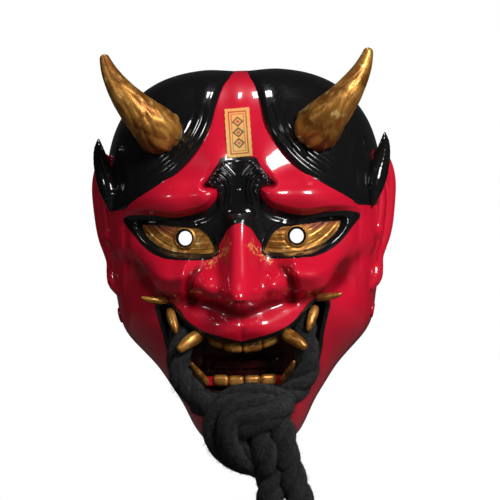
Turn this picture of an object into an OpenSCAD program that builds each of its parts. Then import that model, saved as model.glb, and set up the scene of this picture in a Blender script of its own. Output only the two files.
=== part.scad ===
// Demon face mask with horns, gold teeth and a rope held in the mouth.
// Frame: +X to the viewer's right, +Z up, the face looks along -Y and the back rim lies on Y = 0.
// The origin is on the plane of the back rim, at the height where the head is widest.

/* [Shell] */
// Half width of the head at its widest
half_w = 88; // [82:1:96]
// Height of the crown above the widest height
crown_h = 106; // [100:1:116]
// Drop of the chin below the widest height
chin_drop = 129; // [124:1:138]
// Depth of the plain dome from the rim to the front
dome_d = 70; // [64:1:78]
// Wall thickness of the shell
wall = 4; // [3:0.5:5]
// Height of the hair above the dome
hair_rise = 4; // [2:0.5:6]
// Angle above the origin where the hair meets the rim at the temple
temple_angle = 13; // [9:1:16]
// Half angle of the forehead peak at the crown
peak_angle = 3.5; // [3:0.5:6]

/* [Face relief] */
// Rise of the nose tip above the dome
nose_rise = 31; // [24:1:36]
// Height of the nose tip, measured from the origin
nose_tip_z = -35; // [-38:1:-32]
// Rise of the wings of the nose
wing_rise = 12; // [8:1:15]
// Rise of the brows
brow_rise = 10; // [6:1:14]
// Depth of the eye sockets
socket_depth = 6; // [4:0.5:8]
// Rise of the cheeks
cheek_rise = 13; // [8:1:16]
// Depth of the hollow beside a cheek
cheek_hollow = 6; // [3:0.5:7]
// Rise of the upper lip
lip_rise = 12; // [10:1:15]
// Rise of the chin
chin_rise = 18; // [12:1:22]

/* [Eyes] */
// Distance between the pupils
pupil_gap = 65; // [61:0.5:70]
// Height of the pupils
pupil_z = 1.3; // [0:0.1:3]
// Bore of each sight hole
sight_d = 9.2; // [7:0.2:11]
// Outside diameter of the collar around a sight hole
collar_d = 12.6; // [11.6:0.2:14]
// Length of an eye between its corners
eye_len = 47; // [42:1:50]
// Rise of the upper lid above the line between the corners
lid_up = 7; // [6:0.5:8]
// Drop of the lower lid below that line
lid_down = 8; // [7:0.5:9]
// Slant of the eyes
eye_slant = 19; // [14:1:23]
// Turn of the eyes to the sides
eye_yaw = 18; // [14:1:22]
// Depth of the eye plates' edge behind the front of the dome
eye_inset = 10; // [8:1:12]
// Thickness of an eye plate at its edge
plate_t = 2.5; // [2:0.5:4]
// Rise of the middle of an eye plate
plate_bulge = 4; // [2.5:0.5:5]
// Width of the black bezel around an eye plate
bezel_w = 3; // [2:0.5:4]

/* [Horns] */
// Radius of a horn at its base
horn_base_r = 15; // [12:0.5:16]
// Radius of a horn at its tip
horn_tip_r = 2.6; // [2:0.2:4]
// Place of a horn on the hair, to the side
horn_x = 46; // [43:1:50]
// Place of a horn on the hair, upwards
horn_z = 64; // [60:1:68]
// Distance from a horn's base to its tip, to the side
horn_spread = 33; // [26:1:40]
// Distance from a horn's base to its tip, upwards
horn_lift = 48; // [38:1:56]
// Distance that a horn comes forward
horn_reach = 12; // [6:1:18]
// Diameter of the screw that holds a horn
screw_d = 5; // [4:0.5:6]
// Length of the screw inside the horn
screw_bite = 12; // [8:1:16]

/* [Mouth] */
// Depth of the mouth liner's floor behind the front of the dome
floor_inset = 30; // [27:1:33]
// Thickness of the mouth liner
liner_t = 2.5; // [2:0.5:4]
// Depth of the upper gum's face behind the front of the dome
upper_gum_inset = 10; // [9:0.5:13]
// Depth of the lower gum's face behind the front of the dome
lower_gum_inset = 23; // [22:0.5:25]
// Length of the teeth from the gum to their front
tooth_d = 6; // [4:0.5:7]
// Pitch of the upper teeth
upper_pitch = 10.6; // [9:0.2:11]
// Pitch of the lower teeth
lower_pitch = 9.6; // [8:0.2:10]
// Radius of an upper fang at its root
upper_fang_r = 3.4; // [2.6:0.2:3.8]
// Radius of a lower fang at its root
lower_fang_r = 2; // [1.6:0.1:2.4]
// Radius of a corner fang in its middle
corner_fang_r = 2.6; // [2:0.2:3.2]
// Radius of a cheek tusk at its root
tusk_r = 2.6; // [2:0.2:3.2]

/* [Trim] */
// Width of the paper slip on the forehead
slip_w = 15; // [12:0.5:18]
// Height of the paper slip
slip_h = 30; // [26:1:34]
// Thickness of the paper slip
slip_t = 0.6; // [0.4:0.1:1]
// Rise of the crest between the brows
crest_rise = 4; // [2.5:0.5:6]

/* [Strap eyelets] */
// Bore of a strap eyelet
eyelet_d = 5; // [4:0.5:6]
// Drop of the strap eyelets below the origin
eyelet_drop = 46; // [42:1:52]
// Distance of the strap eyelets from the back rim
eyelet_in = 11; // [10:0.5:14]

/* [Rope] */
// Diameter of the rope
rope_d = 14; // [10:0.5:14.5]
// Length of a rope tail below its joint
tail_l = 44; // [30:1:60]
// Length of the whipping at the end of a tail
whip_l = 10; // [6:1:14]

/* [Hidden] */
$fn = 48;

// Clearances: a glued seam, a seat on a curved face, a screw or barrel in its hole
seam = 0.35;
seat = 0.45;
hole_gap = 0.3;

// Shape of the outline and of the dome
crown_power = 3;
chin_power = 1.5;
dome_power = 3;
// Departures of the jaw from its oval: angle below the origin, spread of the angle, share of the radius
jaw_bulges = [[9, 5, -0.024], [35, 11, 0.057], [56, 7, -0.012], [77, 7, 0.08]];

RED = [0.72, 0.05, 0.12];
BLACK = [0.06, 0.06, 0.06];
GOLD = [0.68, 0.5, 0.22];
ROPE = [0.14, 0.14, 0.15];
PAPER = [0.94, 0.76, 0.42];
STEEL = [0.6, 0.6, 0.62];

// Number of rays and rings in the shell's grid
hair_rays = 20;
peak_rays = 4;
jaw_rays = 42;
shell_rings = 24;
hair_rings = 14;

rope_r = rope_d / 2;
eye_front = dome_d - eye_inset;
floor_h = dome_d - floor_inset;
upper_gum_h = dome_d - upper_gum_inset;
lower_gum_h = dome_d - lower_gum_inset;
// Places given from the front of the dome, -Y towards the viewer
function from_front(l) = [for (p = l) p - [0, dome_d, 0]];

// Outline of the head in polar form, seen from the front
function oval_r(a, p, h) = pow(pow(abs(cos(a)) / half_w, p) + pow(abs(sin(a)) / h, p), -1 / p);
function jaw(d) =
  1 + [for (b = jaw_bulges) b[2]] * [for (b = jaw_bulges) exp(-pow((d - b[0]) / b[1], 2))];
function rim_r(a) =
  sin(a) > 0
  ? oval_r(a, crown_power, crown_h)
  : oval_r(a, chin_power, chin_drop) * jaw(atan2(abs(sin(a)), abs(cos(a))));
function rim_at(a) = rim_r(a) * [cos(a), sin(a)];
function angle_of(p) = atan2(p[1], p[0]);
function share(p) = norm(p) / rim_r(angle_of(p));
function dome(s) = dome_d * sqrt(max(0, 1 - pow(s, dome_power)));
function fade(s) = max(0, 1 - pow(s, 8));
// Rings of a grid lie closer together towards the steep rim, less so on the carved face
function spread(u) = 1.35 * u - 0.35 * pow(u, 3);
function face_spread(u) = 1.2 * u - 0.2 * pow(u, 3);

// A soft bump at c, with radii r
function bump(p, c, r) = exp(-pow((p[0] - c[0]) / r[0], 2) - pow((p[1] - c[1]) / r[1], 2));
function clamp(v, lo, hi) = min(max(v, lo), hi);

// A smooth step from 0 at lo to 1 at hi
function soft_step(lo, hi, v) =
  let (u = clamp((v - lo) / (hi - lo), 0, 1))
  u * u * (3 - 2 * u);

// The nose: a bridge that widens and rises downwards, a broad foot and the ball of the tip
bridge_z = 10;
bridge_rise = 8;
bridge_r = 6.6;
tip_r = 9.6;
foot_r = 17;
ball_r = [9, 7.5];
nose_under = 6.5;
bridge_share = 0.68;
foot_share = 0.15;
ball_share = 0.17;
function nose(p) =
  let (u = clamp((bridge_z - p[1]) / (bridge_z - nose_tip_z - ball_r[1] / 2), 0, 1))
  let (past = max(p[1] - bridge_z, nose_tip_z - p[1], 0) / nose_under)
  let (rise = bridge_rise + (bridge_share * nose_rise - bridge_rise) * u)
  let (w = bridge_r + (tip_r - bridge_r) * u)
  rise * exp(-pow(p[0] / w, 2) - past * past)
  + foot_share * nose_rise * u * exp(-pow(p[0] / foot_r, 2) - past * past)
  + ball_share * nose_rise * bump(p, [0, nose_tip_z], ball_r);

// A wing of the nose, cut off sharply above the nostril's hollow
wing_lift = 7.5;
nostril_depth = 4;
function wing(p) =
  wing_rise * bump(p, [18.5, nose_tip_z + wing_lift], [8.4, 8.4])
  * soft_step(nose_tip_z - 4, nose_tip_z + 1.5, p[1])
  - nostril_depth * bump(p, [17, nose_tip_z - 5], [9, 4]);

// Lower edges of the brow and of the cheek, as height against the distance from the middle
brow_edge = [
  [8, 30], [13, 26.5], [16, 21.5], [19, 18.7], [25, 16.2], [33, 14.4], [42, 13.8], [54, 15.6], [66, 16], [80, 9]
];
cheek_edge = [[20, -9], [26, -19], [31, -31], [38, -35.6], [50, -31], [57, -21], [64, -11.4], [77, 4]];
function above(p, edge) = p[1] - lookup(p[0], edge);

// The relief of the whole face, the same on both sides
function relief(q) =
  let (p = [abs(q[0]), q[1]])
  nose(p)
  + wing(p)
  + brow_rise * bump(p, [41, 25], [29, 12]) * soft_step(-1, 4, above(p, brow_edge))
  - socket_depth * bump(p, [36, 0], [24, 12])
  + cheek_rise * bump(p, [44, -23], [17, 12.5]) * soft_step(-1.5, 5, above(p, cheek_edge))
  - cheek_hollow * bump(p, [63, -25], [8, 12])
  + lip_rise * bump(p, [8, -53], [27, 9.6])
  + chin_rise * bump(p, [0, -106], [26, 16]);

// Height of the outer and the inner face in front of the rim, at a place seen from the front
function face_h(p) = dome(share(p)) + fade(share(p)) * relief(p);
function hair_h(p) = dome(share(p)) + fade(share(p)) * hair_rise;
function narrowing(p) = 1 - wall * pow(share(p), 6) / rim_r(angle_of(p));
function inner_dome(s) = dome(s) * (dome_d - wall) / dome_d;
function inner_h(p) =
  let (q = p / narrowing(p))
  inner_dome(share(q)) + fade(share(q)) * relief(q);

function face_point(p) = [p[0], -face_h(p), p[1]];
function hair_point(p) = [p[0], -hair_h(p), p[1]];
function back_point(p) =
  let (q = p * narrowing(p))
  [q[0], -inner_h(q), q[1]];
function hair_back_point(p) =
  let (q = p * narrowing(p))
  [q[0], -inner_dome(share(p)), q[1]];

// Smooth curve through a list of points
function spline_at(l, i, t) =
  let (a = l[max(i - 1, 0)], b = l[i], c = l[i + 1], d = l[min(i + 2, len(l) - 1)])
  0.5 * (2 * b + (c - a) * t + (2 * a - 5 * b + 4 * c - d) * t * t + (3 * b - a - 3 * c + d) * t * t * t);
function spline(l, n) = [
  for (k = [0:n])
    let (u = k * (len(l) - 1) / n)
    let (i = min(floor(u), len(l) - 2))
    spline_at(l, i, u - i)
];
function reversed(l) = [for (i = [len(l) - 1:-1:0]) l[i]];
function flipped(l) = [for (p = l) [-p[0], p[1]]];
function joined(rows) = [for (row = rows) each row];

// Hairline on the right side, from the temple to the peak
// In hundredths of the half width and of the crown's height
hairline_shares = [[83, 18.9], [62, 27.5], [42.6, 38.5], [30, 49.5], [21.5, 60.5], [15.7, 77.4], [11.5, 91.5]];
hairline = spline(concat(
  [rim_at(temple_angle)],
  [for (p = hairline_shares) [p[0] * half_w, p[1] * crown_h] / 100],
  [rim_at(90 - peak_angle)]
), hair_rays);
peak_edge = [
  for (k = [1:peak_rays - 1])
    rim_at(90 - peak_angle + k * 2 * peak_angle / peak_rays)
];
jaw_edge = [
  for (k = [1:jaw_rays - 1])
    rim_at(180 - temple_angle + k * (180 + 2 * temple_angle) / jaw_rays)
];
face_edge = concat(hairline, peak_edge, reversed(flipped(hairline)), jaw_edge);

// A closed solid between two grids of rings around a middle point
module disc_solid(top, top_middle, bottom, bottom_middle) {
  n = len(top[0]);
  tops = len(top) * n;
  bottoms = len(bottom) * n;
  points = concat(joined(top), joined(bottom), [top_middle, bottom_middle]);
  function at(start, r, k) = start + r * n + k % n;
  function bands(start, count, turn) = [
    for (r = [0:count - 2], k = [0:n - 1])
      let (a = at(start, r, k), b = at(start, r, k + 1))
      let (c = at(start, r + 1, k + 1), d = at(start, r + 1, k))
      let (cut = norm(points[a] - points[c]) < norm(points[b] - points[d]) + 0.001)
      let (halves = cut ? [[a, b, c], [a, c, d]] : [[a, b, d], [b, c, d]])
      each turn ? halves : [for (h = halves) reversed(h)]
  ];
  outer_ring = (len(top) - 1) * n;
  lower_ring = tops + (len(bottom) - 1) * n;
  walls = [
    for (k = [0:n - 1])
      let (a = at(outer_ring, 0, k), b = at(outer_ring, 0, k + 1))
      let (c = at(lower_ring, 0, k + 1), d = at(lower_ring, 0, k))
      each [[a, b, c], [a, c, d]]
  ];
  caps = [
    for (k = [0:n - 1])
      each [
        [tops + bottoms, at(0, 0, k + 1), at(0, 0, k)],
        [tops + bottoms + 1, at(tops, 0, k), at(tops, 0, k + 1)]
      ]
  ];
  faces = concat(bands(0, len(top), true), bands(tops, len(bottom), false), walls, caps);
  polyhedron(points, faces, convexity = 12);
}

// A closed solid between two grids of the same rows and columns
module patch_solid(top, bottom) {
  rows = len(top);
  cols = len(top[0]);
  under = rows * cols;
  function at(r, c) = r * cols + c;
  function sheet(start, turn) = [
    for (r = [0:rows - 2], k = [0:cols - 2])
      let (a = start + at(r, k), b = start + at(r, k + 1))
      let (c = start + at(r + 1, k + 1), d = start + at(r + 1, k))
      each turn ? [[a, b, c], [a, c, d]] : [[c, b, a], [d, c, a]]
  ];
  border = concat(
    [for (k = [0:cols - 2]) at(0, k)],
    [for (r = [0:rows - 2]) at(r, cols - 1)],
    [for (k = [cols - 1:-1:1]) at(rows - 1, k)],
    [for (r = [rows - 1:-1:1]) at(r, 0)]
  );
  walls = [
    for (i = [0:len(border) - 1])
      let (a = border[i], b = border[(i + 1) % len(border)])
      each [[b, a, under + a], [b, under + a, under + b]]
  ];
  faces = concat(sheet(0, true), sheet(under, false), walls);
  polyhedron(concat(joined(top), joined(bottom)), faces, convexity = 12);
}

// Rings of a swept tube: points on the route, a radius at each
function unit(v) = v / norm(v);
function heading(l, i) = unit(l[min(i + 1, len(l) - 1)] - l[max(i - 1, 0)]);
function ring(l, radii, i, sides) =
  let (t = heading(l, i))
  let (u = unit(cross(t, abs(t[0]) > 0.8 ? [0, 0, 1] : [1, 0, 0])))
  let (v = cross(t, u))
  [for (k = [0:sides - 1]) l[i] + radii[i] * (cos(360 * k / sides) * u + sin(360 * k / sides) * v)];
module sweep(l, radii, sides) {
  n = len(l);
  points = [for (i = [0:n - 1]) each ring(l, radii, i, sides)];
  function at(i, k) = i * sides + k % sides;
  bands = [
    for (i = [0:n - 2], k = [0:sides - 1])
      each [[at(i, k), at(i + 1, k + 1), at(i, k + 1)], [at(i, k), at(i + 1, k), at(i + 1, k + 1)]]
  ];
  ends = [
    [for (k = [0:sides - 1]) at(0, k)],
    [for (k = [sides - 1:-1:0]) at(n - 1, k)]
  ];
  polyhedron(points, concat(bands, ends), convexity = 8);
}
function even(l, r) = [for (p = l) r];

// A route with a round start of radius r, and the radii of its rings
round_steps = [75, 50, 25];
function round_start(l, r) = concat([for (a = round_steps) l[0] - unit(l[1] - l[0]) * r * sin(a)], l);
function round_radii(l, r) = concat([for (a = round_steps) r * cos(a)], even(l, r));

// One side's piece is drawn on the right and mirrored for the left
module on_side(left) {
  mirror([left ? 1 : 0, 0, 0]) children();
}

// The whole head grown by g, for fitting pieces to its sides
module head_solid(g) {
  rays = 96;
  rings = 24;
  function grown(p) = p * (1 + g / rim_r(angle_of(p)));
  function top_h(p) = g + max(face_h(p), hair_h(p));
  top = [
    for (r = [1:rings])
      [for (k = [0:rays - 1])
        let (p = rim_at(360 * k / rays) * spread(r / rings))
        [grown(p)[0], -top_h(p), grown(p)[1]]]
  ];
  bottom = [
    for (r = [1, rings])
      [for (k = [0:rays - 1])
        let (p = grown(rim_at(360 * k / rays) * r / rings))
        [p[0], wall, p[1]]]
  ];
  disc_solid(top, [0, -top_h([0, 0.01]), 0], bottom, [0, wall, 0]);
}

// Eye outline between two arcs, grown by g
function arc_r(rise) = (pow(eye_len / 2, 2) + rise * rise) / (2 * rise);
eye_shift = 4.9;
eye_sink = 2.6;
module lens(g) {
  translate([eye_shift, -eye_sink])
    intersection() {
      translate([0, lid_up - arc_r(lid_up)]) circle(arc_r(lid_up) + g, $fn = 160);
      translate([0, arc_r(lid_down) - lid_down]) circle(arc_r(lid_down) + g, $fn = 160);
    }
}
module lens_block(g, low, high) {
  translate([0, 0, low]) linear_extrude(high - low) lens(g);
}
module at_eye(left) {
  on_side(left)
    translate([pupil_gap / 2, -eye_front, pupil_z])
      rotate([0, 0, eye_yaw])
        rotate([90, 0, 0])
          rotate([0, 0, eye_slant])
            children();
}
ledge_t = 2;
ledge_w = 1.5;
bezel_lip = 1.5;
bezel_back = plate_t + ledge_t;

// Mouth opening: upper lip, corner, side and lower lip, on the right side
mouth_half = spline([
  [0, -60.5], [14, -57.5], [26, -54], [34, -49], [39, -42], [44, -38.5], [50, -39],
  [49, -46], [46.5, -56], [45, -66], [42, -77], [35, -86], [24, -90.5], [0, -92]
], 52);
module mouth_outline() {
  polygon(concat(mouth_half, reversed(flipped(mouth_half))));
}

// A tooth or tusk: a chain of balls, each [point, radius], grown by g
module tusk(balls, g, sides = 16) {
  for (i = [0:len(balls) - 2])
    hull() {
      translate(balls[i][0]) sphere(balls[i][1] + g, $fn = sides);
      translate(balls[i + 1][0]) sphere(balls[i + 1][1] + g, $fn = sides);
    }
}
tip_share = 0.3;
corner_root = face_point([44, -40]) + [0, corner_fang_r * 1.2, 0];
corner_fang_route = [
  [corner_root, corner_fang_r * 0.8],
  [corner_root + [-2.5, -5, -8], corner_fang_r],
  [corner_root + [-4.5, -8, -15], corner_fang_r * tip_share]
];
tusk_root = face_point([47, -37]);
cheek_tusk_route = [
  [tusk_root, tusk_r],
  [tusk_root + [6.5, -3, 1], tusk_r * 0.85],
  [tusk_root + [13, -4, 3.5], tusk_r * tip_share]
];

// Frame of a horn: its place on the hair and the direction that it leaves in
horn_p = [horn_x, horn_z];
slope_step = 1;
horn_seat = hair_point(horn_p);
horn_out = unit(cross(
  hair_point(horn_p + [slope_step, 0]) - hair_point(horn_p - [slope_step, 0]),
  hair_point(horn_p + [0, slope_step]) - hair_point(horn_p - [0, slope_step])
));
module at_horn(left) {
  on_side(left)
    translate(horn_seat)
      rotate([0, acos(horn_out[2]), atan2(horn_out[1], horn_out[0])])
        children();
}
screw_r = screw_d / 2;
screw_head_r = screw_r * 2;
screw_head_t = 2.5;
skin_left = 2.6;

// Frame of a strap eyelet: its place on the shell's side and the direction of its bore
eyelet_r = eyelet_d / 2;
barrel_r = eyelet_r + 1;
flange_r = eyelet_r + 2.5;
flange_t = 1;
flange_gap = 1.1;
eyelet_share = pow(1 - pow(eyelet_in / dome_d, 2), 1 / dome_power);
function eyelet_turn(a, steps) = steps == 0 ? a : eyelet_turn(asin(eyelet_drop / rim_r(-a)), steps - 1);
eyelet_a = eyelet_turn(30, 8);
eyelet_p = rim_at(-eyelet_a) * eyelet_share;
rim_step = rim_at(1 - eyelet_a) - rim_at(-1 - eyelet_a);
eyelet_tilt = atan2(rim_step[0], rim_step[1]);
eyelet_out = flange_gap + flange_t;
eyelet_back = wall + flange_gap + flange_t;
module at_eyelet(left) {
  on_side(left)
    translate([eyelet_p[0], -eyelet_in, eyelet_p[1]])
      rotate([0, 90 + eyelet_tilt, 0])
        children();
}

module face_shell() {
  top = [
    for (r = [1:shell_rings])
      [for (p = face_edge) face_point(p * face_spread(r / shell_rings))]
  ];
  bottom = [
    for (r = [1:shell_rings])
      [for (p = face_edge) back_point(p * face_spread(r / shell_rings))]
  ];
  middle = [0, 0.01];
  color(RED)
    difference() {
      disc_solid(top, face_point(middle), bottom, back_point(middle));
      rotate([90, 0, 0]) linear_extrude(2 * dome_d) mouth_outline();
      for (left = [false, true]) {
        at_eye(left) lens_block(bezel_w + hole_gap, -2 * bezel_back, dome_d);
        on_side(left) {
          tusk(corner_fang_route, seat);
          tusk(cheek_tusk_route, seat);
        }
        at_eyelet(left) cylinder(r = barrel_r + hole_gap, h = 4 * wall, center = true);
      }
    }
}

module hair_panel(left) {
  function place(p, r) =
    let (start = p + unit(p) * 2 * seam, end = rim_at(angle_of(p)))
    start + (end - start) * spread(r / hair_rings);
  rows = [for (k = [1:hair_rays - 1]) hairline[k]];
  top = [for (p = rows) [for (r = [0:hair_rings]) hair_point(place(p, r))]];
  bottom = [for (p = rows) [for (r = [0:hair_rings]) hair_back_point(place(p, r))]];
  color(BLACK)
    difference() {
      on_side(left) patch_solid(reversed(top), reversed(bottom));
      at_horn(left) {
        cylinder(r = screw_r + hole_gap, h = 6 * wall, center = true);
        translate([0, 0, -skin_left - dome_d]) cylinder(r = screw_head_r + hole_gap, h = dome_d);
      }
    }
}
module hair_left() { hair_panel(true); }
module hair_right() { hair_panel(false); }

// Balls beside the head, each [x, y, z, radius]: x in hundredths of the half width, y of the dome's depth
function beside(l) = [for (b = l) [[b[0] * half_w / 100, b[1] * dome_d / 100, b[2]], b[3]]];

// A side lock: a pointed leaf of hair in front of the ear
lock_route = beside([
  [100, -38.6, 62, 1.2], [98.9, -41.4, 55, 3.4], [97.7, -44.3, 46, 5], [96, -48.6, 36, 5.4],
  [94.3, -51.4, 28, 4.4], [92, -54.3, 19, 1.6]
]);
module side_lock(left) {
  color(BLACK)
    difference() {
      on_side(left)
        tusk(lock_route, 0);
      head_solid(seat);
      ear_shape(left, seat);
    }
}
module side_lock_left() { side_lock(true); }
module side_lock_right() { side_lock(false); }

// An ear: its rolled rim down to the lobe, the fold in front and the bowl between them
ear_rim = beside([
  [97.7, -22.9, 52, 3.4], [101.6, -16.4, 32, 4.5], [100, -16.4, 14, 4.6], [95.5, -19.3, -5.5, 4.4],
  [93, -25, -12, 4.4], [91.9, -29.3, -19, 5], [90.3, -31.4, -24.5, 5.4], [87.3, -33.6, -29, 4.6]
]);
ear_fold = beside([
  [95.5, -35.7, 36, 2.8], [96.1, -35.7, 23, 3.3], [94.1, -37.1, 9, 3.6], [91.4, -37.9, -4, 3.6], [88.6, -34.3, -15, 3.6]
]);
ear_bowl = beside([
  [93.2, -27.1, 46, 5], [96.1, -26.4, 29, 6], [94.8, -27.1, 12, 6.2], [91.4, -27.9, -3, 6.2],
  [87.7, -27.1, -16, 6.4], [85.7, -26.4, -26, 5.6]
]);
module ear_shape(left, g) {
  on_side(left) {
    tusk(ear_rim, g);
    tusk(ear_fold, g);
    tusk(ear_bowl, g);
  }
}
module ear(left) {
  color(RED)
    difference() {
      ear_shape(left, 0);
      head_solid(seat);
    }
}
module ear_left() { ear(true); }
module ear_right() { ear(false); }

// Half width of the crest from its top down to the nose
crest_outline = spline([[9, 46], [14, 42], [20, 33], [13, 29], [12, 20], [9, 13]], 24);
module brow_crest() {
  cols = 12;
  function place(row, c) = [row[0] * (2 * c / cols - 1), row[1]];
  function lifted(p, rise) = face_point(p) - [0, rise, 0];
  function arch(c) = crest_rise * (1 - 0.5 * pow(2 * c / cols - 1, 4));
  top = [for (row = crest_outline) [for (c = [0:cols]) lifted(place(row, c), 3 * seam + arch(c))]];
  bottom = [for (row = crest_outline) [for (c = [0:cols]) lifted(place(row, c), 3 * seam)]];
  color(BLACK) patch_solid(top, bottom);
}

module eye_bezel(left) {
  color(BLACK)
    at_eye(left)
      difference() {
        lens_block(bezel_w, -bezel_back, bezel_lip);
        lens_block(0, -plate_t, 2 * bezel_lip);
        lens_block(-ledge_w, -2 * bezel_back, 2 * bezel_lip);
      }
}
module eye_bezel_left() { eye_bezel(true); }
module eye_bezel_right() { eye_bezel(false); }

collar_h = 0.8;
module eye_plate(left) {
  ball_r = (pow(eye_len / 2, 2) + plate_bulge * plate_bulge) / (2 * plate_bulge);
  color(GOLD)
    at_eye(left)
      difference() {
        intersection() {
          lens_block(-hole_gap, -plate_t, 2 * plate_bulge);
          union() {
            translate([eye_shift, -eye_sink, plate_bulge - ball_r]) sphere(ball_r, $fn = 120);
            translate([0, 0, -plate_t]) cylinder(d = collar_d, h = plate_t + plate_bulge + collar_h);
          }
        }
        cylinder(d = sight_d, h = 4 * (plate_t + plate_bulge), center = true);
      }
}
module eye_plate_left() { eye_plate(true); }
module eye_plate_right() { eye_plate(false); }

horn_rings = 16;
module horn(left) {
  root = horn_seat + horn_out * seam;
  tip = root + [horn_spread, -horn_reach, horn_lift];
  bend = root + horn_out * 24;
  rise = tip - [0.12 * horn_spread, 0, 0.45 * horn_lift];
  function curve(t) =
    pow(1 - t, 3) * root + 3 * t * pow(1 - t, 2) * bend + 3 * t * t * (1 - t) * rise + pow(t, 3) * tip;
  route = concat([root], [for (i = [1:horn_rings]) curve(i / horn_rings)]);
  radii = [
    for (i = [0:horn_rings])
      horn_tip_r + (horn_base_r - horn_tip_r) * pow(1 - i / horn_rings, 0.8)
  ];
  color(GOLD)
    difference() {
      on_side(left) sweep(route, radii, 20);
      at_horn(left) translate([0, 0, -seam]) cylinder(r = screw_r + seam, h = screw_bite + 3 * seam);
    }
}
module horn_left() { horn(true); }
module horn_right() { horn(false); }

module horn_screw(left) {
  color(STEEL)
    at_horn(left) {
      translate([0, 0, -skin_left - screw_head_t]) cylinder(r = screw_head_r, h = screw_head_t);
      translate([0, 0, -skin_left - seam]) cylinder(r = screw_r, h = skin_left + screw_bite);
    }
}
module horn_screw_left() { horn_screw(true); }
module horn_screw_right() { horn_screw(false); }

// The liner closes the mouth from behind: a flange under the shell, a wall and a floor
liner_middle = [0, -68];
liner_edge_half = spline([
  [0, -47], [30, -38], [53, -34], [54, -48], [51, -60], [49, -72], [44, -84], [32, -94], [0, -98]
], 24);
liner_sides = [for (i = [1:len(liner_edge_half) - 2]) liner_edge_half[i]];
liner_edge = concat(liner_edge_half, reversed(flipped(liner_sides)));
liner_rings = 10;
flange_seat = 1;
flange_share = 0.9;
wall_share = 0.8;
rope_hole = [33.5, -52.5];
rope_room = 1.5;
upper_gum_half = 30;
upper_gum_z = [-60, -50];
lower_gum_half = 24;
lower_gum_z = [-89.5, -82];
function liner_h(p, v) =
  let (flange = inner_h(p) - flange_seat)
  v >= flange_share ? flange
  : v <= wall_share ? floor_h
  : floor_h + (flange - floor_h) * (v - wall_share) / (flange_share - wall_share);
module gum(half, zs, face) {
  translate([-half, -face, zs[0]]) cube([2 * half, face - floor_h + liner_t / 2, zs[1] - zs[0]]);
}
module mouth_liner() {
  function place(p, r) = liner_middle + (p - liner_middle) * r / liner_rings;
  function middle(back) = [0, back - floor_h, liner_middle[1]];
  function layer(back) = [
    for (r = [1:liner_rings])
      [for (p = reversed(liner_edge))
        let (q = place(p, r))
        [q[0], back - liner_h(q, r / liner_rings), q[1]]]
  ];
  color(BLACK)
    difference() {
      union() {
        disc_solid(layer(0), middle(0), layer(liner_t), middle(liner_t));
        gum(upper_gum_half, upper_gum_z, upper_gum_h);
        gum(lower_gum_half, lower_gum_z, lower_gum_h);
      }
      for (side = [-1, 1])
        translate([side * rope_hole[0], 0, rope_hole[1]])
          rotate([90, 0, 0])
            cylinder(r = rope_r + rope_room, h = 2 * dome_d);
    }
}

// A row of teeth: rounded blocks side by side on a gum
module tooth(x, w, low, high, face) {
  round_r = 1.6;
  for (back = [0, 1])
    hull()
      for (dx = [-1, 1], z = [low + round_r, high - round_r])
        translate([x + dx * (w / 2 - round_r), -face - seat - back * tooth_d / 2, z])
          rotate([90, 0, 0])
            cylinder(r1 = round_r, r2 = round_r * (1 - 0.5 * back), h = tooth_d / 2, $fn = 24);
}
tooth_lap = 0.2;
module upper_teeth() {
  tops = [-53, -52];
  bottoms = [-66.5, -63.5];
  color(GOLD)
    for (side = [-1, 1], i = [0, 1])
      tooth(side * (i + 0.5) * upper_pitch, upper_pitch + tooth_lap, bottoms[i], tops[i], upper_gum_h);
}
module lower_teeth() {
  color(GOLD)
    for (side = [-1, 1], i = [0, 1])
      tooth(side * (i + 0.5) * lower_pitch, lower_pitch + tooth_lap, -89, -82.5 + i * 0.6, lower_gum_h);
}

module fang(left, balls) {
  color(GOLD) on_side(left) tusk(balls, 0);
}
upper_root = [26, -upper_gum_h - seat - upper_fang_r, -57.5];
upper_fang_route = [
  [upper_root, upper_fang_r],
  [upper_root + [6.5, -5, -3], upper_fang_r * 0.8],
  [upper_root + [12.5, -8, -8], upper_fang_r * tip_share]
];
lower_root = [23.5, -lower_gum_h - seat - lower_fang_r, -86.5];
lower_fang_route = [
  [lower_root, lower_fang_r],
  [lower_root + [3.2, -10, 6], lower_fang_r * 0.9],
  [lower_root + [7, -18, 13], lower_fang_r * tip_share]
];
module upper_fang_left() { fang(true, upper_fang_route); }
module upper_fang_right() { fang(false, upper_fang_route); }
module lower_fang_left() { fang(true, lower_fang_route); }
module lower_fang_right() { fang(false, lower_fang_route); }
module corner_fang_left() { fang(true, corner_fang_route); }
module corner_fang_right() { fang(false, corner_fang_route); }
module cheek_tusk_left() { fang(true, cheek_tusk_route); }
module cheek_tusk_right() { fang(false, cheek_tusk_route); }

// The slip lies on the forehead, leaning with it
slip_z = 64;
slip_roll = 4;
module forehead_slip() {
  p = [0, slip_z];
  up = face_point(p + [0, slope_step]) - face_point(p - [0, slope_step]);
  color(PAPER)
    translate(face_point(p))
      rotate([-atan2(up[1], up[2]), 0, 0])
        rotate([0, slip_roll, 0])
          translate([-slip_w / 2, -seat - slip_t, -slip_h / 2])
            cube([slip_w, slip_t, slip_h]);
}

module strap_eyelet(left) {
  color(STEEL)
    at_eyelet(left)
      difference() {
        union() {
          translate([0, 0, -eyelet_back]) cylinder(r = barrel_r, h = eyelet_back + eyelet_out);
          translate([0, 0, flange_gap]) cylinder(r = flange_r, h = flange_t);
          translate([0, 0, -eyelet_back]) cylinder(r = flange_r, h = flange_t);
        }
        cylinder(r = eyelet_r, h = 4 * eyelet_back, center = true);
      }
}
module strap_eyelet_left() { strap_eyelet(true); }
module strap_eyelet_right() { strap_eyelet(false); }

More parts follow.
